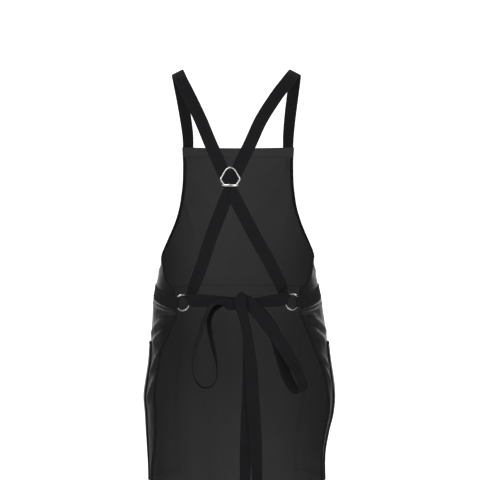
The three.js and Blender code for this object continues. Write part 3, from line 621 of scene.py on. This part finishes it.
def stations(rows):
    """A tape's stations from the rows of its table."""
    return [{
        "middle": np.array(row[:3], float),
        "face": np.array(row[3:6], float),
        "half": row[6] if len(row) > 6 else TAPE_HALF,
    } for row in rows]


def strip(route):
    """A tape's left edge, middle and right edge along its whole length, from its stations."""
    step, fewest = 2.2, 5
    middles = np.array([row["middle"] for row in route])
    lefts, rights = [], []
    for i, row in enumerate(route):
        along = unit(middles[min(i + 1, len(middles) - 1)] - middles[max(i - 1, 0)])
        if "ends" in row:
            lefts.append(row["ends"][0])
            rights.append(row["ends"][1])
            continue
        across = row["across"] if "across" in row else unit(np.cross(row["face"], along)) * row["half"]
        dip = row.get("dip", np.zeros(3))
        lefts.append(row["middle"] - across + dip)
        rights.append(row["middle"] + across + dip)
    spans = np.linalg.norm(np.diff(middles, axis=0), axis=1)
    shares = [np.array([0.0])]
    for i, span in enumerate(spans):
        count = max(fewest, math.ceil(span / step))
        shares.append((i + np.arange(1, count + 1) / count) / len(spans))
    share = np.concatenate(shares)
    return [catmull(np.array(points), share) for points in (lefts, middles, rights)]


# Places of a tape's points across it, from its left edge to its right edge
TAPE_COLUMNS = np.array([-1, -0.97, -0.91, -0.8, -0.55, -0.28, 0, 0.28, 0.55, 0.8, 0.91, 0.97, 1])


def strip_grid(tape):
    """Rows of points across a tape."""
    left, middle, right = (part[:, None] for part in tape)
    side = TAPE_COLUMNS[None, :, None]
    return left * (side * side - side) / 2 + middle * (1 - side * side) + right * (side * side + side) / 2


def webbing_tape(name, route, node):
    """Woven tape with thin rounded selvedges, in place of its solid."""
    thinning, thin_from, worn_from = 0.45, 0.86, 0.8
    tape = strip(route)
    grid = strip_grid(tape)
    edge = 1 - thinning * smooth(np.abs(TAPE_COLUMNS), thin_from, 1.0) ** 2
    half = TAPE_WALL / 2 * np.broadcast_to(edge, grid.shape[:2])
    wear = np.broadcast_to(smooth(np.abs(TAPE_COLUMNS), worn_from, 1.0), grid.shape[:2])
    piece = cloth_wall(name, grid, half, half, wear, [WEBBING])
    stand_in(node)
    return piece, tape


def stitch_row(points, normals, pitch, length, lift):
    """Middles and directions of stitches along a path."""
    lengths = path_lengths(points)
    at = np.arange(pitch / 2, lengths[-1], pitch)
    normal = unit(read_path(normals, lengths, at))
    along = read_path(points, lengths, at + length / 2) - read_path(points, lengths, at - length / 2)
    along = unit(along)
    return read_path(points, lengths, at) + normal * lift, along, unit(np.cross(normal, along)), normal


def stitches(name, rows, material, pitch=3.4, length=2.7, width=0.75, lift=0.1):
    """Rows of short raised stitches as one piece."""
    sides, sunk, shoulder, under, tall = 6, -0.15, 0.27, -0.35, 0.45
    angles = np.linspace(0, 2 * math.pi, sides, endpoint=False)
    ring = [(math.cos(a) * width / 2, max(math.sin(a), under) * width * tall) for a in angles]
    shape = [(-length / 2, 0, sunk)]
    shape += [(share * length, y, z) for share in (-shoulder, shoulder) for y, z in ring]
    shape += [(length / 2, 0, sunk)]
    shape = np.array(shape)
    far, tip = 1 + sides, 1 + 2 * sides
    faces = []
    for k in range(sides):
        n = (k + 1) % sides
        faces += [(0, 1 + n, 1 + k), (1 + k, 1 + n, far + n, far + k), (tip, far + k, far + n)]
    points, polygons = [], []
    for path, normals in rows:
        for middle, along, aside, normal in zip(*stitch_row(path, normals, pitch, length, lift)):
            first = len(shape) * len(points)
            points.append(middle + shape @ np.stack([along, aside, normal]))
            polygons += [tuple(first + i for i in face) for face in faces]
    return mesh_piece(name, np.concatenate(points), polygons, [material])


def sewn_line(turn, z, out=0.0):
    """A path on the canvas and its normals."""
    path = on_canvas(turn, z, out)
    return path, unit(on_canvas(turn, z, out + 1) - path)


def both_faces(path, normal, outer, inner):
    """The same row of stitches on the outer and the inner face."""
    return [(path + normal * outer, normal), (path - normal * inner, -normal)]


class Nodes:
    """Short ways to add shader nodes to a new material."""

    def __init__(self, name):
        self.material = bpy.data.materials.new(name)
        self.material.use_nodes = True
        self.tree = self.material.node_tree
        self.shader = self.tree.nodes["Principled BSDF"]

    def fill(self, node, inputs):
        for name, value in inputs.items():
            if isinstance(value, bpy.types.NodeSocket):
                self.tree.links.new(value, node.inputs[name])
            else:
                node.inputs[name].default_value = value

    def add(self, kind, inputs=None, **settings):
        node = self.tree.nodes.new(kind)
        for name, value in settings.items():
            setattr(node, name, value)
        self.fill(node, inputs or {})
        return node

    def set(self, **values):
        self.fill(self.shader, {name.replace("_", " "): value for name, value in values.items()})

    def math(self, operation, a, b):
        return self.add("ShaderNodeMath", {0: a, 1: b}, operation=operation).outputs[0]

    def ramp(self, value, low, high):
        inputs = {"Value": value, "To Min": low, "To Max": high}
        return self.add("ShaderNodeMapRange", inputs).outputs["Result"]

    def mix(self, share, a, b):
        return self.add("ShaderNodeMix", {0: share, 6: a, 7: b}, data_type="RGBA").outputs[2]

    def noise(self, vector, scale, detail):
        inputs = {"Vector": vector, "Scale": scale, "Detail": detail}
        return self.add("ShaderNodeTexNoise", inputs).outputs["Fac"]

    def wave(self, vector, pitch, direction):
        inputs = {"Vector": vector, "Scale": 2 * math.pi / (20 * pitch)}
        return self.add("ShaderNodeTexWave", inputs, bands_direction=direction).outputs["Fac"]

    def bump(self, height, strength, distance, before=None):
        inputs = {"Height": height, "Strength": strength, "Distance": distance}
        if before is not None:
            inputs["Normal"] = before
        return self.add("ShaderNodeBump", inputs).outputs["Normal"]


def canvas_material(name, dark, pale, smoothest, sheen):
    """Black canvas: plain weave, waxy patches, small creases and paler rubbed folds."""
    n = Nodes(name)
    flat = n.add("ShaderNodeUVMap", uv_map="flat").outputs["UV"]
    patches = n.noise(flat, 22.0, 5.0)
    grain = n.noise(flat, 260.0, 2.0)
    wear = n.add("ShaderNodeAttribute", attribute_name="wear").outputs["Fac"]
    rubbed = n.math("MULTIPLY", wear, n.ramp(grain, 0.4, 1.0))
    base = n.mix(n.math("MULTIPLY", n.math("ADD", patches, grain), 0.5), (*dark, 1), (*pale, 1))
    colour = n.mix(n.math("MULTIPLY", rubbed, 0.3), base, (0.07, 0.07, 0.072, 1))
    roughness = n.math("ADD", n.ramp(patches, smoothest, smoothest + 0.18), n.math("MULTIPLY", rubbed, 0.1))
    threads = n.math("MAXIMUM", n.wave(flat, 0.0008, "X"), n.wave(flat, 0.00095, "Y"))
    creases = n.noise(flat, 95.0, 6.0)
    normal = n.bump(threads, 0.25, 0.00018, n.bump(creases, 0.35, 0.0011))
    n.set(Base_Color=colour, Roughness=roughness, Normal=normal)
    n.set(IOR=1.42, Sheen_Weight=sheen, Sheen_Roughness=0.3)
    return n.material


def webbing_material():
    """Matte black cotton webbing: cross ribs, lengthwise cords and slightly paler selvedges."""
    n = Nodes("cotton_webbing")
    flat = n.add("ShaderNodeUVMap", uv_map="flat").outputs["UV"]
    fibre = n.noise(flat, 420.0, 3.0)
    patches = n.noise(flat, 30.0, 3.0)
    wear = n.add("ShaderNodeAttribute", attribute_name="wear").outputs["Fac"]
    base = n.mix(n.ramp(patches, 0.0, 1.0), (0.0126, 0.0126, 0.014, 1), (0.018, 0.018, 0.0202, 1))
    colour = n.mix(n.math("MULTIPLY", wear, n.ramp(fibre, 0.0, 0.16)), base, (0.05, 0.05, 0.055, 1))
    ribs = n.math("ADD", n.wave(flat, 0.0015, "Y"), n.math("MULTIPLY", n.wave(flat, 0.0021, "X"), 0.7))
    normal = n.bump(fibre, 0.25, 0.0002, n.bump(ribs, 0.4, 0.00022))
    n.set(Base_Color=colour, Roughness=n.ramp(fibre, 0.74, 0.92), Normal=normal, Specular_IOR_Level=0.12)
    return n.material


def thread_material(name, colour):
    """Twisted sewing thread."""
    n = Nodes(name)
    place = n.add("ShaderNodeTexCoord").outputs["Object"]
    twist = n.noise(place, 1500.0, 1.0)
    dark = tuple(0.6 * c for c in colour[:3]) + (1,)
    n.set(Base_Color=n.mix(twist, dark, colour), Roughness=n.ramp(twist, 0.45, 0.65))
    n.set(Normal=n.bump(twist, 0.3, 0.0001))
    return n.material


def steel_material():
    """Nickel-plated wire with fine rub marks."""
    n = Nodes("plated_steel")
    place = n.add("ShaderNodeTexCoord").outputs["Object"]
    marks = n.noise(place, 700.0, 4.0)
    tarnish = n.noise(place, 60.0, 2.0)
    colour = n.mix(n.ramp(tarnish, 0.0, 1.0), (0.82, 0.82, 0.83, 1), (0.95, 0.95, 0.96, 1))
    n.set(Base_Color=colour, Metallic=1.0, Roughness=n.ramp(marks, 0.12, 0.28))
    n.set(Normal=n.bump(marks, 0.08, 0.0001))
    return n.material


CANVAS = canvas_material("waxed_canvas", (0.0045, 0.0045, 0.005), (0.0125, 0.0125, 0.0135), 0.27, 0.25)
DRY_CANVAS = canvas_material("dry_canvas", (0.034, 0.034, 0.036), (0.058, 0.058, 0.06), 0.74, 0.0)
WEBBING = webbing_material()
BLACK_THREAD = thread_material("black_thread", (0.018, 0.018, 0.02, 1))
GREY_THREAD = thread_material("grey_thread", (0.085, 0.085, 0.088, 1))
STEEL = steel_material()


def canvas_grid(heights, count):
    """Turns and heights of rows across the canvas, with points closer together at its side edges."""
    near = np.array([0, 1.2, 3, 5, 6.5, 8.5])
    inset = near[-1] + 3
    turns, levels = [], []
    for z in heights:
        dense = row_turns(z, ROW_POINTS)
        lengths = path_lengths(on_canvas(dense, row_level(z, dense)))
        inside = np.linspace(inset, lengths[-1] - inset, count)
        at = np.concatenate([near, inside, lengths[-1] - near[::-1]])
        turns.append(np.interp(at, lengths, dense))
        levels.append(row_level(z, turns[-1]))
    return np.array(turns), np.array(levels)


def canvas_wear(turn, z):
    """Paler rubbed places: fold crests."""
    all_over = 0.15
    tallest = lambda rows: max(row[5] for row in rows)
    crest = sum(ridges(turn, z, rows) / tallest(rows) for rows in (DRAG_FOLDS, FINE_FOLDS))
    return np.clip(all_over + crest, 0, 1)


def canvas_piece(name, heights, count, outer, inner):
    """A canvas wall with bound side edges, and rows for its stitches. Ridges and hems thicken it by rows."""
    turn, level = canvas_grid(heights, count)
    grid = on_canvas(turn, level, fine_cloth(turn, level))
    faces = HALF_WALL + outer[:, None], HALF_WALL + inner[:, None]
    piece = cloth_wall(f"{name}_canvas", grid, *faces, canvas_wear(turn, level), [CANVAS, DRY_CANVAS])
    stand_in(f"apron_{name}")
    across, _, normal = grid_frame(grid)
    trim, rows = [], []
    for side, column, hand in (("right", 0, 1), ("left", -1, -1)):
        edge, inward, out = grid[:, column], hand * across[:, column], normal[:, column]
        trim.append(binding(f"{name}_binding_{side}", edge, inward, out, EDGE_BINDING))
        rows += both_faces(edge + inward * BINDING_STITCH, out, BINDING_OUT, BINDING_OUT)
    return piece, trim, rows


def row_stitches(z, outer, inner):
    """Stitches along a canvas row on both faces, clear of its ends."""
    margin = 8 / 3
    turn = row_turns(z, ROW_POINTS, margin)
    level = row_level(z, turn)
    return both_faces(*sewn_line(turn, level, fine_cloth(turn, level)), outer, inner)


# Bib, with a turned hem along its top
top = EDGES["z"][0]
hem_rows = np.array([0, 1.5, 4, 10, 17, 19.5, 21, 22.5])
heights = np.concatenate([top - hem_rows, np.linspace(top - 27, SEAM_END + SEAM_GAP / 2, 80)])
hem = HEM_FOLD * (1 - smooth(top - heights, *BIB_HEM["ends"]))
bib, bib_trim, bib_rows = canvas_piece("bib", heights, 120, np.zeros_like(hem), hem)
bib_rows += row_stitches(top - BIB_HEM["stitches"], HALF_WALL, HALF_WALL + HEM_FOLD)
bib_trim.append(stitches("bib_stitches", bib_rows, BLACK_THREAD))

# Skirt, with a felled ridge under the waist band and a turned hem
start = SEAM_END - SEAM_GAP / 2
bottom = EDGES["z"][-1]
seam_rows = np.concatenate([[0, 4], np.arange(7, 23, 0.8), [24, 26]])
middle_rows = np.linspace(SEAM_END - 30, bottom + 28, 120)
hem_rows = np.array([24, 22, 20.5, 18, 10, 4, 1.5, 0])
heights = np.concatenate([start - seam_rows, middle_rows, bottom + hem_rows])
depth = start - heights
crests = sum(np.exp(-(((depth - crest) / FELL["half"]) ** 2)) for crest in FELL["crests"])
flat_part = smooth(depth, *FELL["from"]) - smooth(depth, *FELL["to"])
ridge = FELL["high"] * crests + FELL["flat"] * flat_part
hem = HEM_FOLD * (1 - smooth(heights - bottom, *SKIRT_HEM["ends"]))
skirt, skirt_trim, skirt_rows = canvas_piece("skirt", heights, 168, ridge, hem)
skirt_rows += row_stitches(bottom + SKIRT_HEM["stitches"], HALF_WALL, HALF_WALL + HEM_FOLD)
skirt_trim.append(stitches("skirt_stitches", skirt_rows, BLACK_THREAD))
fell_rows = []
for drop in FELL_STITCHES:
    fell_rows += row_stitches(start - drop, HALF_WALL + FELL["flat"], HALF_WALL)
skirt_trim.append(stitches("waist_seam_stitches", fell_rows, GREY_THREAD, pitch=3.6, length=2.9, width=0.9))


def pocket_turn(hand, share):
    """Turn at a share of a pocket's width, from its front edge."""
    return hand * (POCKET["from_turn"] + share * (POCKET["to_turn"] - POCKET["from_turn"]))


def hip_pocket(hand, name, node):
    """Patch pocket pressed to the canvas at its sewn sides, with a turned top."""
    wide = np.unique(np.concatenate([np.linspace(0, 1, 44), [0.01, 0.03, 0.05, 0.95, 0.97, 0.99]]))
    deep = np.unique(np.concatenate([np.linspace(0, 1, 70), [0.005, 0.07, 0.078, 0.085, 0.98, 0.99]]))
    share, down = np.meshgrid(wide[::-1] if hand > 0 else wide, deep)
    turn = pocket_turn(hand, share)
    z = POCKET["top"] + down * (POCKET["bottom"] - POCKET["top"])
    swell = np.sin(np.pi * share) * np.sin(np.pi * (12 * down + 2) / 14)
    free = np.minimum(smooth(share, 0.0, 0.1), smooth(1 - share, 0.0, 0.1))
    free = np.minimum(free, smooth(1 - down, 0.0, 0.06))
    crumple = POCKET_OUT["crumple"] * cloth_noise(share * 6, z / 45, 11 + hand) * free
    out = POCKET_OUT["sewn"] + POCKET_OUT["ease"] * free + POCKET_OUT["bulge"] * swell + crumple
    grid = on_canvas(turn, z, out)
    hem = POCKET_HEM["fold"] * (1 - smooth(down, *POCKET_HEM["ends"]))
    near_side = 1 - smooth(np.minimum(share, 1 - share), 0.05, 0.065)
    turned = 0.35 * np.maximum(near_side, 1 - smooth(1 - down, 0.03, 0.04))
    wear = np.clip(turned + 0.3 * hem, 0, 1)
    outer = HALF_WALL + np.maximum(hem * 0.5, turned)
    piece = cloth_wall(name, grid, outer, HALF_WALL, wear, [CANVAS, DRY_CANVAS])
    stand_in(node)
    lines = []
    for inset in POCKET_INSETS:
        lines += [(pocket_turn(hand, edge), z[:, 0]) for edge in (inset, 1 - inset)]
        lines.append((turn[0], POCKET["bottom"] + inset * POCKET["width"]))
    rows = []
    for line in lines:
        rows += both_faces(*sewn_line(*line, POCKET_OUT["stitches"]), 0, POCKET_OUT["through"])
    across, downward, normal = grid_frame(grid)
    hem_line = int(np.searchsorted(deep, POCKET_HEM["stitches"]))
    rows.append((grid[hem_line] + normal[hem_line] * POCKET_HEM["stitch_lift"], normal[hem_line]))
    trim = [stitches(f"{name}_stitches", rows, BLACK_THREAD)]
    edges = {
        "top": (grid[0], downward[0], normal[0]),
        "first": (grid[:, 0], across[:, 0], normal[:, 0]),
        "last": (grid[:, -1], -across[:, -1], normal[:, -1]),
    }
    for side, edge in edges.items():
        trim.append(binding(f"{name}_{side}_binding", *edge, POCKET_BINDING))


hip_pocket(-1, "pocket_left", "hip_pocket_left")
hip_pocket(1, "pocket_right", "hip_pocket_right")


def ring_frame(ring):
    """Directions of a ring and a way to place points on it: along the back, up and out."""
    hand, z, turn = ring
    yaw = math.radians(RING_YAW)
    along = np.array([-hand * math.cos(yaw), -math.sin(yaw), 0])
    out = np.array([hand * math.sin(yaw), -math.cos(yaw), 0])
    centre = on_canvas(hand * turn, z) + along * RING_RADIUS
    return along, out, lambda u, v, d: centre + along * u + UP * v + out * d


def strap_fold(ring):
    """Stations of a strap that comes down behind a ring's inner wire and returns in front of it."""
    along, _, place = ring_frame(ring)
    lean = math.radians(STRAP_LEAN)
    cos, sin = math.cos(lean), math.sin(lean)
    radial, rise = along * cos + UP * sin, UP * cos - along * sin
    slant = unit(UP * 0.5 - along * 0.86)
    blend = unit(slant * 0.45 + rise * 0.55)

    def at(u, v, d, direction, half, share):
        middle = place(RING_RADIUS * cos + u, RING_RADIUS * sin + v, d)
        return {"middle": middle, "across": direction * ring[0] * half, "dip": -radial * FOLD_DIP * share}

    return [
        at(6.2, 17.5, -FOLD_DEPTH, slant, TAPE_HALF, 0),
        at(3, 6.5, -FOLD_DEPTH, blend, 11.6, 0.6),
        at(0, 0, -FOLD_DEPTH, rise, FOLD_HALF, 1),
        at(-FOLD_LENGTH * cos, -FOLD_LENGTH * sin, 0, rise, FOLD_HALF, 1),
        at(0, 0, FOLD_DEPTH, rise, FOLD_HALF, 1),
        at(5, -0.6, FOLD_DEPTH + 0.4, (rise + UP) / 2, 11.4, 0.5),
    ]


def strap_front(hand, back):
    """Stations of the sewn end on the bib and of the way over the shoulder to the back's first station."""
    out = HALF_WALL + SEWN_GAP + TAPE_WALL / 2
    face = SEWN_FACE * (hand, 1, 1)
    rows = []
    for i, z in enumerate(SEWN_HEIGHTS):
        middle = on_canvas(hand * (SEWN_TURN + SEWN_LEAN * i), z, out)
        rows.append({"middle": middle, "face": face, "half": TAPE_HALF})
    shift = abs(back[0][0]) - SHOULDER_X
    for i, (x, y, z, nx, ny, nz) in enumerate(STRAP_FRONT):
        x = hand * (x + shift * i / len(STRAP_FRONT))
        rows += stations([(x, y, z, hand * nx, ny, nz)])
    return rows


def box_stitches(tape, hand):
    """Rows of a box with a cross on a strap's sewn end."""
    near, far, side = BOX_STITCH
    box = [(near, -side), (near, side), (far, side), (far, -side), (near, -side)]
    corners = box + [(far, side), (far, -side), (near, side)]
    lengths = path_lengths(tape[1])
    normals = grid_frame(strip_grid(tape))[2][:, len(TAPE_COLUMNS) // 2]
    rows = []
    for start, end in zip(corners[:-1], corners[1:]):
        at, across = np.linspace(start, end, 30).T
        left, middle, right = (read_path(part, lengths, at) for part in tape)
        line = middle + (right - left) / 2 * across[:, None]
        normal = unit(read_path(normals, lengths, at))
        normal = normal * np.sign(normal @ (SEWN_FACE * (hand, 1, 1)))[:, None]
        rows += both_faces(line, normal, TAPE_WALL / 2, BOX_THROUGH)
    return rows


def waist_band():
    """Stations of the band round the canvas, each end through its ring and back inside the wing."""
    lift = HALF_WALL + BAND_LIFT + TAPE_WALL / 2
    inside_turns, outside_turns = (116, 122, 127), range(-126, 127, 6)
    round_ring = [
        (-2.5, -FOLD_DEPTH, 0.8),
        (0, -FOLD_DEPTH, 1),
        (FOLD_LENGTH, 0, 1),
        (0, FOLD_DEPTH, 1),
        (-2.5, FOLD_DEPTH, 0.8),
    ]

    def on_band(turn, offset, half):
        z = band_height(turn)
        ends = [on_canvas(turn, z - half, offset), on_canvas(turn, z + half, offset)]
        return {"middle": on_canvas(turn, z, offset), "ends": ends}

    def end(ring):
        along, _, place = ring_frame(ring)
        rows = [on_band(ring[0] * turn, -lift, FOLD_HALF + 1) for turn in inside_turns]
        for u, d, share in round_ring:
            middle = place(u - RING_RADIUS, 0, d)
            rows.append({"middle": middle, "across": UP * FOLD_HALF, "dip": along * FOLD_DIP * share})
        return rows

    outside = [on_band(turn, lift, TAPE_HALF) for turn in outside_turns]
    return end(RING_LEFT) + outside + end(RING_RIGHT)[::-1]


def band_stitch_rows():
    """Rows along both edges of the band and bars across its ends."""
    rows = []
    turn = np.linspace(BAND_STITCH["to_turn"], -BAND_STITCH["to_turn"], 400)
    for offset in (-BAND_STITCH["offset"], BAND_STITCH["offset"]):
        line = sewn_line(turn, band_height(turn) + offset)
        rows += both_faces(*line, BAND_OUTSIDE, HALF_WALL)
    up_bar = np.linspace(-BAND_STITCH["bar_half"], BAND_STITCH["bar_half"], 20)
    for hand in (-1, 1):
        for turn in BAND_STITCH["bars"]:
            path, normal = sewn_line(hand * turn, band_height(turn) + up_bar)
            rows.append((path + normal * BAND_OUTSIDE, normal))
    return rows


band, _ = webbing_tape("band_webbing", waist_band(), "waist_band")
band_stitches = stitches("band_stitches", band_stitch_rows(), BLACK_THREAD)

# Straps: side, hand, back, ring, tie, then the solid that carries the strap and its flat length in metres
STRAPS = [
    ("left", -1, STRAP_BACK_LEFT, RING_RIGHT, TIE_RIGHT, "ring_right", 0.905),
    ("right", 1, STRAP_BACK_RIGHT, RING_LEFT, TIE_LEFT, "ring_left", 0.915),
]
for side, hand, back, ring, tie, carrier, length in STRAPS:
    route = strap_front(hand, back) + stations(back) + strap_fold(ring) + stations(tie)
    strap, tape = webbing_tape(f"strap_{side}_webbing", route, f"strap_{side}")
    box = stitches(f"strap_{side}_stitches", box_stitches(tape, hand), BLACK_THREAD)

# Loops and tails of the bow: piece, solid, stations, flat length in metres and how the tape is held
BOW_TAPES = [
    ("loop_left", "bow_loop_left", LOOP_LEFT, 0.465, "folded"),
    ("loop_right", "bow_loop_right", LOOP_RIGHT, 0.455, "folded"),
    ("tail_front", "tie_tail_front", TAIL_FRONT, 0.435, "hung"),
    ("tail_back", "tie_tail_back", TAIL_BACK, 0.37, "hung"),
]
for name, node, rows, length, held in BOW_TAPES:
    piece, _ = webbing_tape(f"{name}_webbing", stations(rows), node)


def tube(path, radius, level, sides=14, closed=False):
    """Points and faces of a round wire along a path. Level is a direction that the path never takes."""
    along = np.roll(path, -1, 0) - np.roll(path, 1, 0) if closed else np.gradient(path, axis=0)
    aside = unit(np.cross(along, level))
    over = unit(np.cross(along, aside))
    angle = np.linspace(0, 2 * math.pi, sides, endpoint=False)[None, :, None]
    circle = aside[:, None] * np.cos(angle) + over[:, None] * np.sin(angle)
    points = path[:, None] + circle * radius
    return points.reshape(-1, 3), shell_faces(len(path), sides, closed)


def joined(shells):
    """One list of points and faces from several closed shells."""
    points, faces = [], []
    for more_points, more_faces in shells:
        first = sum(len(part) for part in points)
        points.append(more_points)
        faces += [[first + i for i in face] for face in more_faces]
    return np.concatenate(points), faces


def steel_ring(ring, name, node):
    """Round wire O-ring."""
    along, out, place = ring_frame(ring)
    angle = np.linspace(0, 2 * math.pi, 96, endpoint=False)[:, None]
    path = place(0, 0, 0) + (along * np.cos(angle) + UP * np.sin(angle)) * RING_RADIUS
    piece = mesh_piece(name, *tube(path, RING_WIRE, out, sides=18, closed=True), [STEEL])
    stand_in(node)


steel_ring(RING_LEFT, "ring_left_wire", "ring_left")
steel_ring(RING_RIGHT, "ring_right_wire", "ring_right")


def rounded_outline(table, count):
    """Points of an outline with round corners in the XZ plane, evenly spaced."""
    pull = 0.58
    t = np.linspace(0, 1, 40)[:, None]
    corners = np.stack([table["x"], table["z"]], -1)
    bends = []
    for i, point in enumerate(corners):
        to_last, to_next = unit(corners[i - 1] - point), unit(corners[(i + 1) % len(corners)] - point)
        trim = table["bend"][i] / math.tan(math.acos(float(to_last @ to_next)) / 2)
        start, end = point + to_last * trim, point + to_next * trim
        lead, tail = start + (point - start) * pull, end + (point - end) * pull
        bends.append((1 - t)**3 * start + 3 * (1 - t)**2 * t * lead + 3 * (1 - t) * t**2 * tail + t**3 * end)
    path = np.concatenate(bends + [bends[0][:1]])
    lengths = path_lengths(path)
    x, z = read_path(path, lengths, np.linspace(0, lengths[-1], count, endpoint=False)).T
    return np.stack([x, np.zeros(count), z], -1)


def rounded_bar(length, deep, high, edge):
    """Points and faces of a flat bar along X with round edges and ends."""
    section = []
    for cy, cz, start in ((1, 1, 0), (-1, 1, 90), (-1, -1, 180), (1, -1, 270)):
        y, z = cy * (deep / 2 - edge), cz * (high / 2 - edge)
        for a in np.radians(np.linspace(start, start + 90, 5)):
            section.append((y + edge * math.cos(a), z + edge * math.sin(a)))
    ends = [(-length / 2 + inset, share) for inset, share in ((0, 0.72), (0.25, 0.9), (0.8, 1.0))]
    ends += [(-x, share) for x, share in reversed(ends)]
    points = np.array([(x, y * share, z * share) for x, share in ends for y, z in section])
    return points, shell_faces(len(ends), len(section))


def cross_keeper():
    """Keeper of bent wire, its flat lower bar and the thin wire behind the straps."""
    base = UP * KEEPER_OUTLINE["z"][0]
    half = np.array(KEEPER_REAR)
    rear_path = catmull(np.concatenate([half * (-1, 1, 1), half[::-1]]), np.linspace(0, 1, 120))
    bar_points, bar_faces = rounded_bar(**KEEPER_BAR)
    points, faces = joined([
        tube(rounded_outline(KEEPER_OUTLINE, 180), KEEPER_WIRE, AHEAD, closed=True),
        (bar_points + base, bar_faces),
        tube(rear_path + base, KEEPER_REAR_WIRE, UP),
    ])
    piece = mesh_piece("keeper_wire", points + KEEPER_PLACE, faces, [STEEL])
    stand_in("cross_keeper")


def bow_knot():
    """Knot of bunched tape as one creased core."""
    around = np.linspace(0, 2 * math.pi, 96, endpoint=False)
    a, b = np.meshgrid(around, np.linspace(-math.pi / 2, math.pi / 2, 49))
    ball = np.stack([np.cos(a) * np.cos(b), np.sin(a) * np.cos(b), np.sin(b)], -1)
    shape = np.sign(ball) * np.abs(ball) ** KNOT_POWER
    slope = shape @ KNOT_SLOPE
    crease = sum(deep * np.sin(slope * often + shape[..., 1] * shift) for deep, often, shift in KNOT_CREASES)
    shape = KNOT["middle"] + shape * KNOT["half"] * (KNOT["fill"] + crease)[..., None]
    rows, cols = len(shape) - 2, len(around)
    points = np.concatenate([shape[0, :1], shape[1:-1].reshape(-1, 3), shape[-1, :1]])
    faces = [[1 + i for i in face] for face in shell_faces(rows, cols)[:-2]]
    top_row = (rows - 1) * cols
    for k in range(1, cols + 1):
        n = k % cols + 1
        faces += [[n, k, 0], [top_row + k, top_row + n, len(points) - 1]]
    core = mesh_piece("knot_core", points, faces, [WEBBING], points[:, [0, 2]], np.zeros(len(points)))
    stand_in("bow_knot")


cross_keeper()
bow_knot()


def backdrop():
    """Pale floor that curves up into a bright wall. Sizes in metres."""
    front, floor, wall, top, bend, half = -6.0, -1.5, 4.6, 3.9, 0.6, 4.2
    n = Nodes("backdrop")
    place = n.add("ShaderNodeTexCoord").outputs["Object"]
    away = n.add("ShaderNodeSeparateXYZ", {"Vector": place}).outputs["Y"]
    inputs = {"Value": away, "From Min": 3.4, "From Max": 4.1, "To Min": 0.0, "To Max": 0.98}
    glow = n.add("ShaderNodeMapRange", inputs, interpolation_type="SMOOTHSTEP").outputs["Result"]
    seen = n.add("ShaderNodeLightPath").outputs["Is Camera Ray"]
    n.set(Base_Color=(0.85, 0.85, 0.85, 1), Roughness=0.9, Emission_Color=(1, 1, 1, 1))
    n.set(Emission_Strength=n.math("MAXIMUM", glow, n.ramp(seen, 0.0, 0.7)))
    profile = [(front, floor), (wall - bend, floor)]
    for a in np.radians(np.linspace(6, 90, 15)):
        profile.append((wall - bend + bend * math.sin(a), floor + bend - bend * math.cos(a)))
    profile.append((wall, top))
    points = [(x, y, z) for y, z in profile for x in (-half, half)]
    faces = [(2 * i, 2 * i + 1, 2 * i + 3, 2 * i + 2) for i in range(len(profile) - 1)]
    mesh = bpy.data.meshes.new("backdrop")
    mesh.from_pydata(points, [], faces)
    mesh.polygons.foreach_set("use_smooth", np.ones(len(mesh.polygons), bool))
    mesh.materials.append(n.material)
    sweep = bpy.data.objects.new("backdrop", mesh)
    bpy.context.scene.collection.objects.link(sweep)
    sweep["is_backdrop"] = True


def soft_box(name, place, target, size, power):
    """Square soft light aimed at a point."""
    lamp = bpy.data.lights.new(name, "AREA")
    lamp.shape = "SQUARE"
    lamp.size = size
    lamp.energy = power
    light = bpy.data.objects.new(name, lamp)
    light.visible_camera = False
    light.location = place
    light.rotation_euler = (Vector(target) - Vector(place)).to_track_quat("-Z", "Y").to_euler()
    bpy.context.scene.collection.objects.link(light)


# Soft boxes: name, place, target and size in metres, power in watts
SOFT_BOXES = [
    ("key", (-1.3, -2.9, 1.2), (0, -0.1, -0.4), 2.4, 44),
    ("fill", (1.5, -2.8, 0.5), (0, -0.1, -0.45), 2.4, 26),
    ("side_left", (-2.0, 1.1, 0.8), (0, 0, -0.5), 1.0, 15),
    ("side_right", (2.0, 1.1, 0.8), (0, 0, -0.5), 1.0, 15),
]

backdrop()
for box in SOFT_BOXES:
    soft_box(*box)

# Surround: white to the eye and dim as a light
world = bpy.data.worlds.new("studio")
world.use_nodes = True
surround = world.node_tree.nodes["Background"]
surround.inputs["Color"].default_value = (0.98, 0.98, 0.98, 1)
seen = world.node_tree.nodes.new("ShaderNodeLightPath")
level = world.node_tree.nodes.new("ShaderNodeMapRange")
level.inputs["To Min"].default_value = 0.1
level.inputs["To Max"].default_value = 1.0
world.node_tree.links.new(seen.outputs["Is Camera Ray"], level.inputs["Value"])
world.node_tree.links.new(level.outputs["Result"], surround.inputs["Strength"])
bpy.context.scene.world = world
bpy.context.scene.view_settings.view_transform = "Standard"

# Camera behind the apron, placed in metres
lens = bpy.data.cameras.new("camera")
lens.sensor_width = 36
lens.lens = 120
lens.clip_end = 50
camera = bpy.data.objects.new("camera", lens)
camera.location = (0.004, -3.32, -0.346)
camera.rotation_euler = (math.pi / 2, 0, 0)
bpy.context.scene.collection.objects.link(camera)
bpy.context.scene.camera = camera

{"cad": cad_box, "visual": [list(corner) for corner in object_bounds()]}
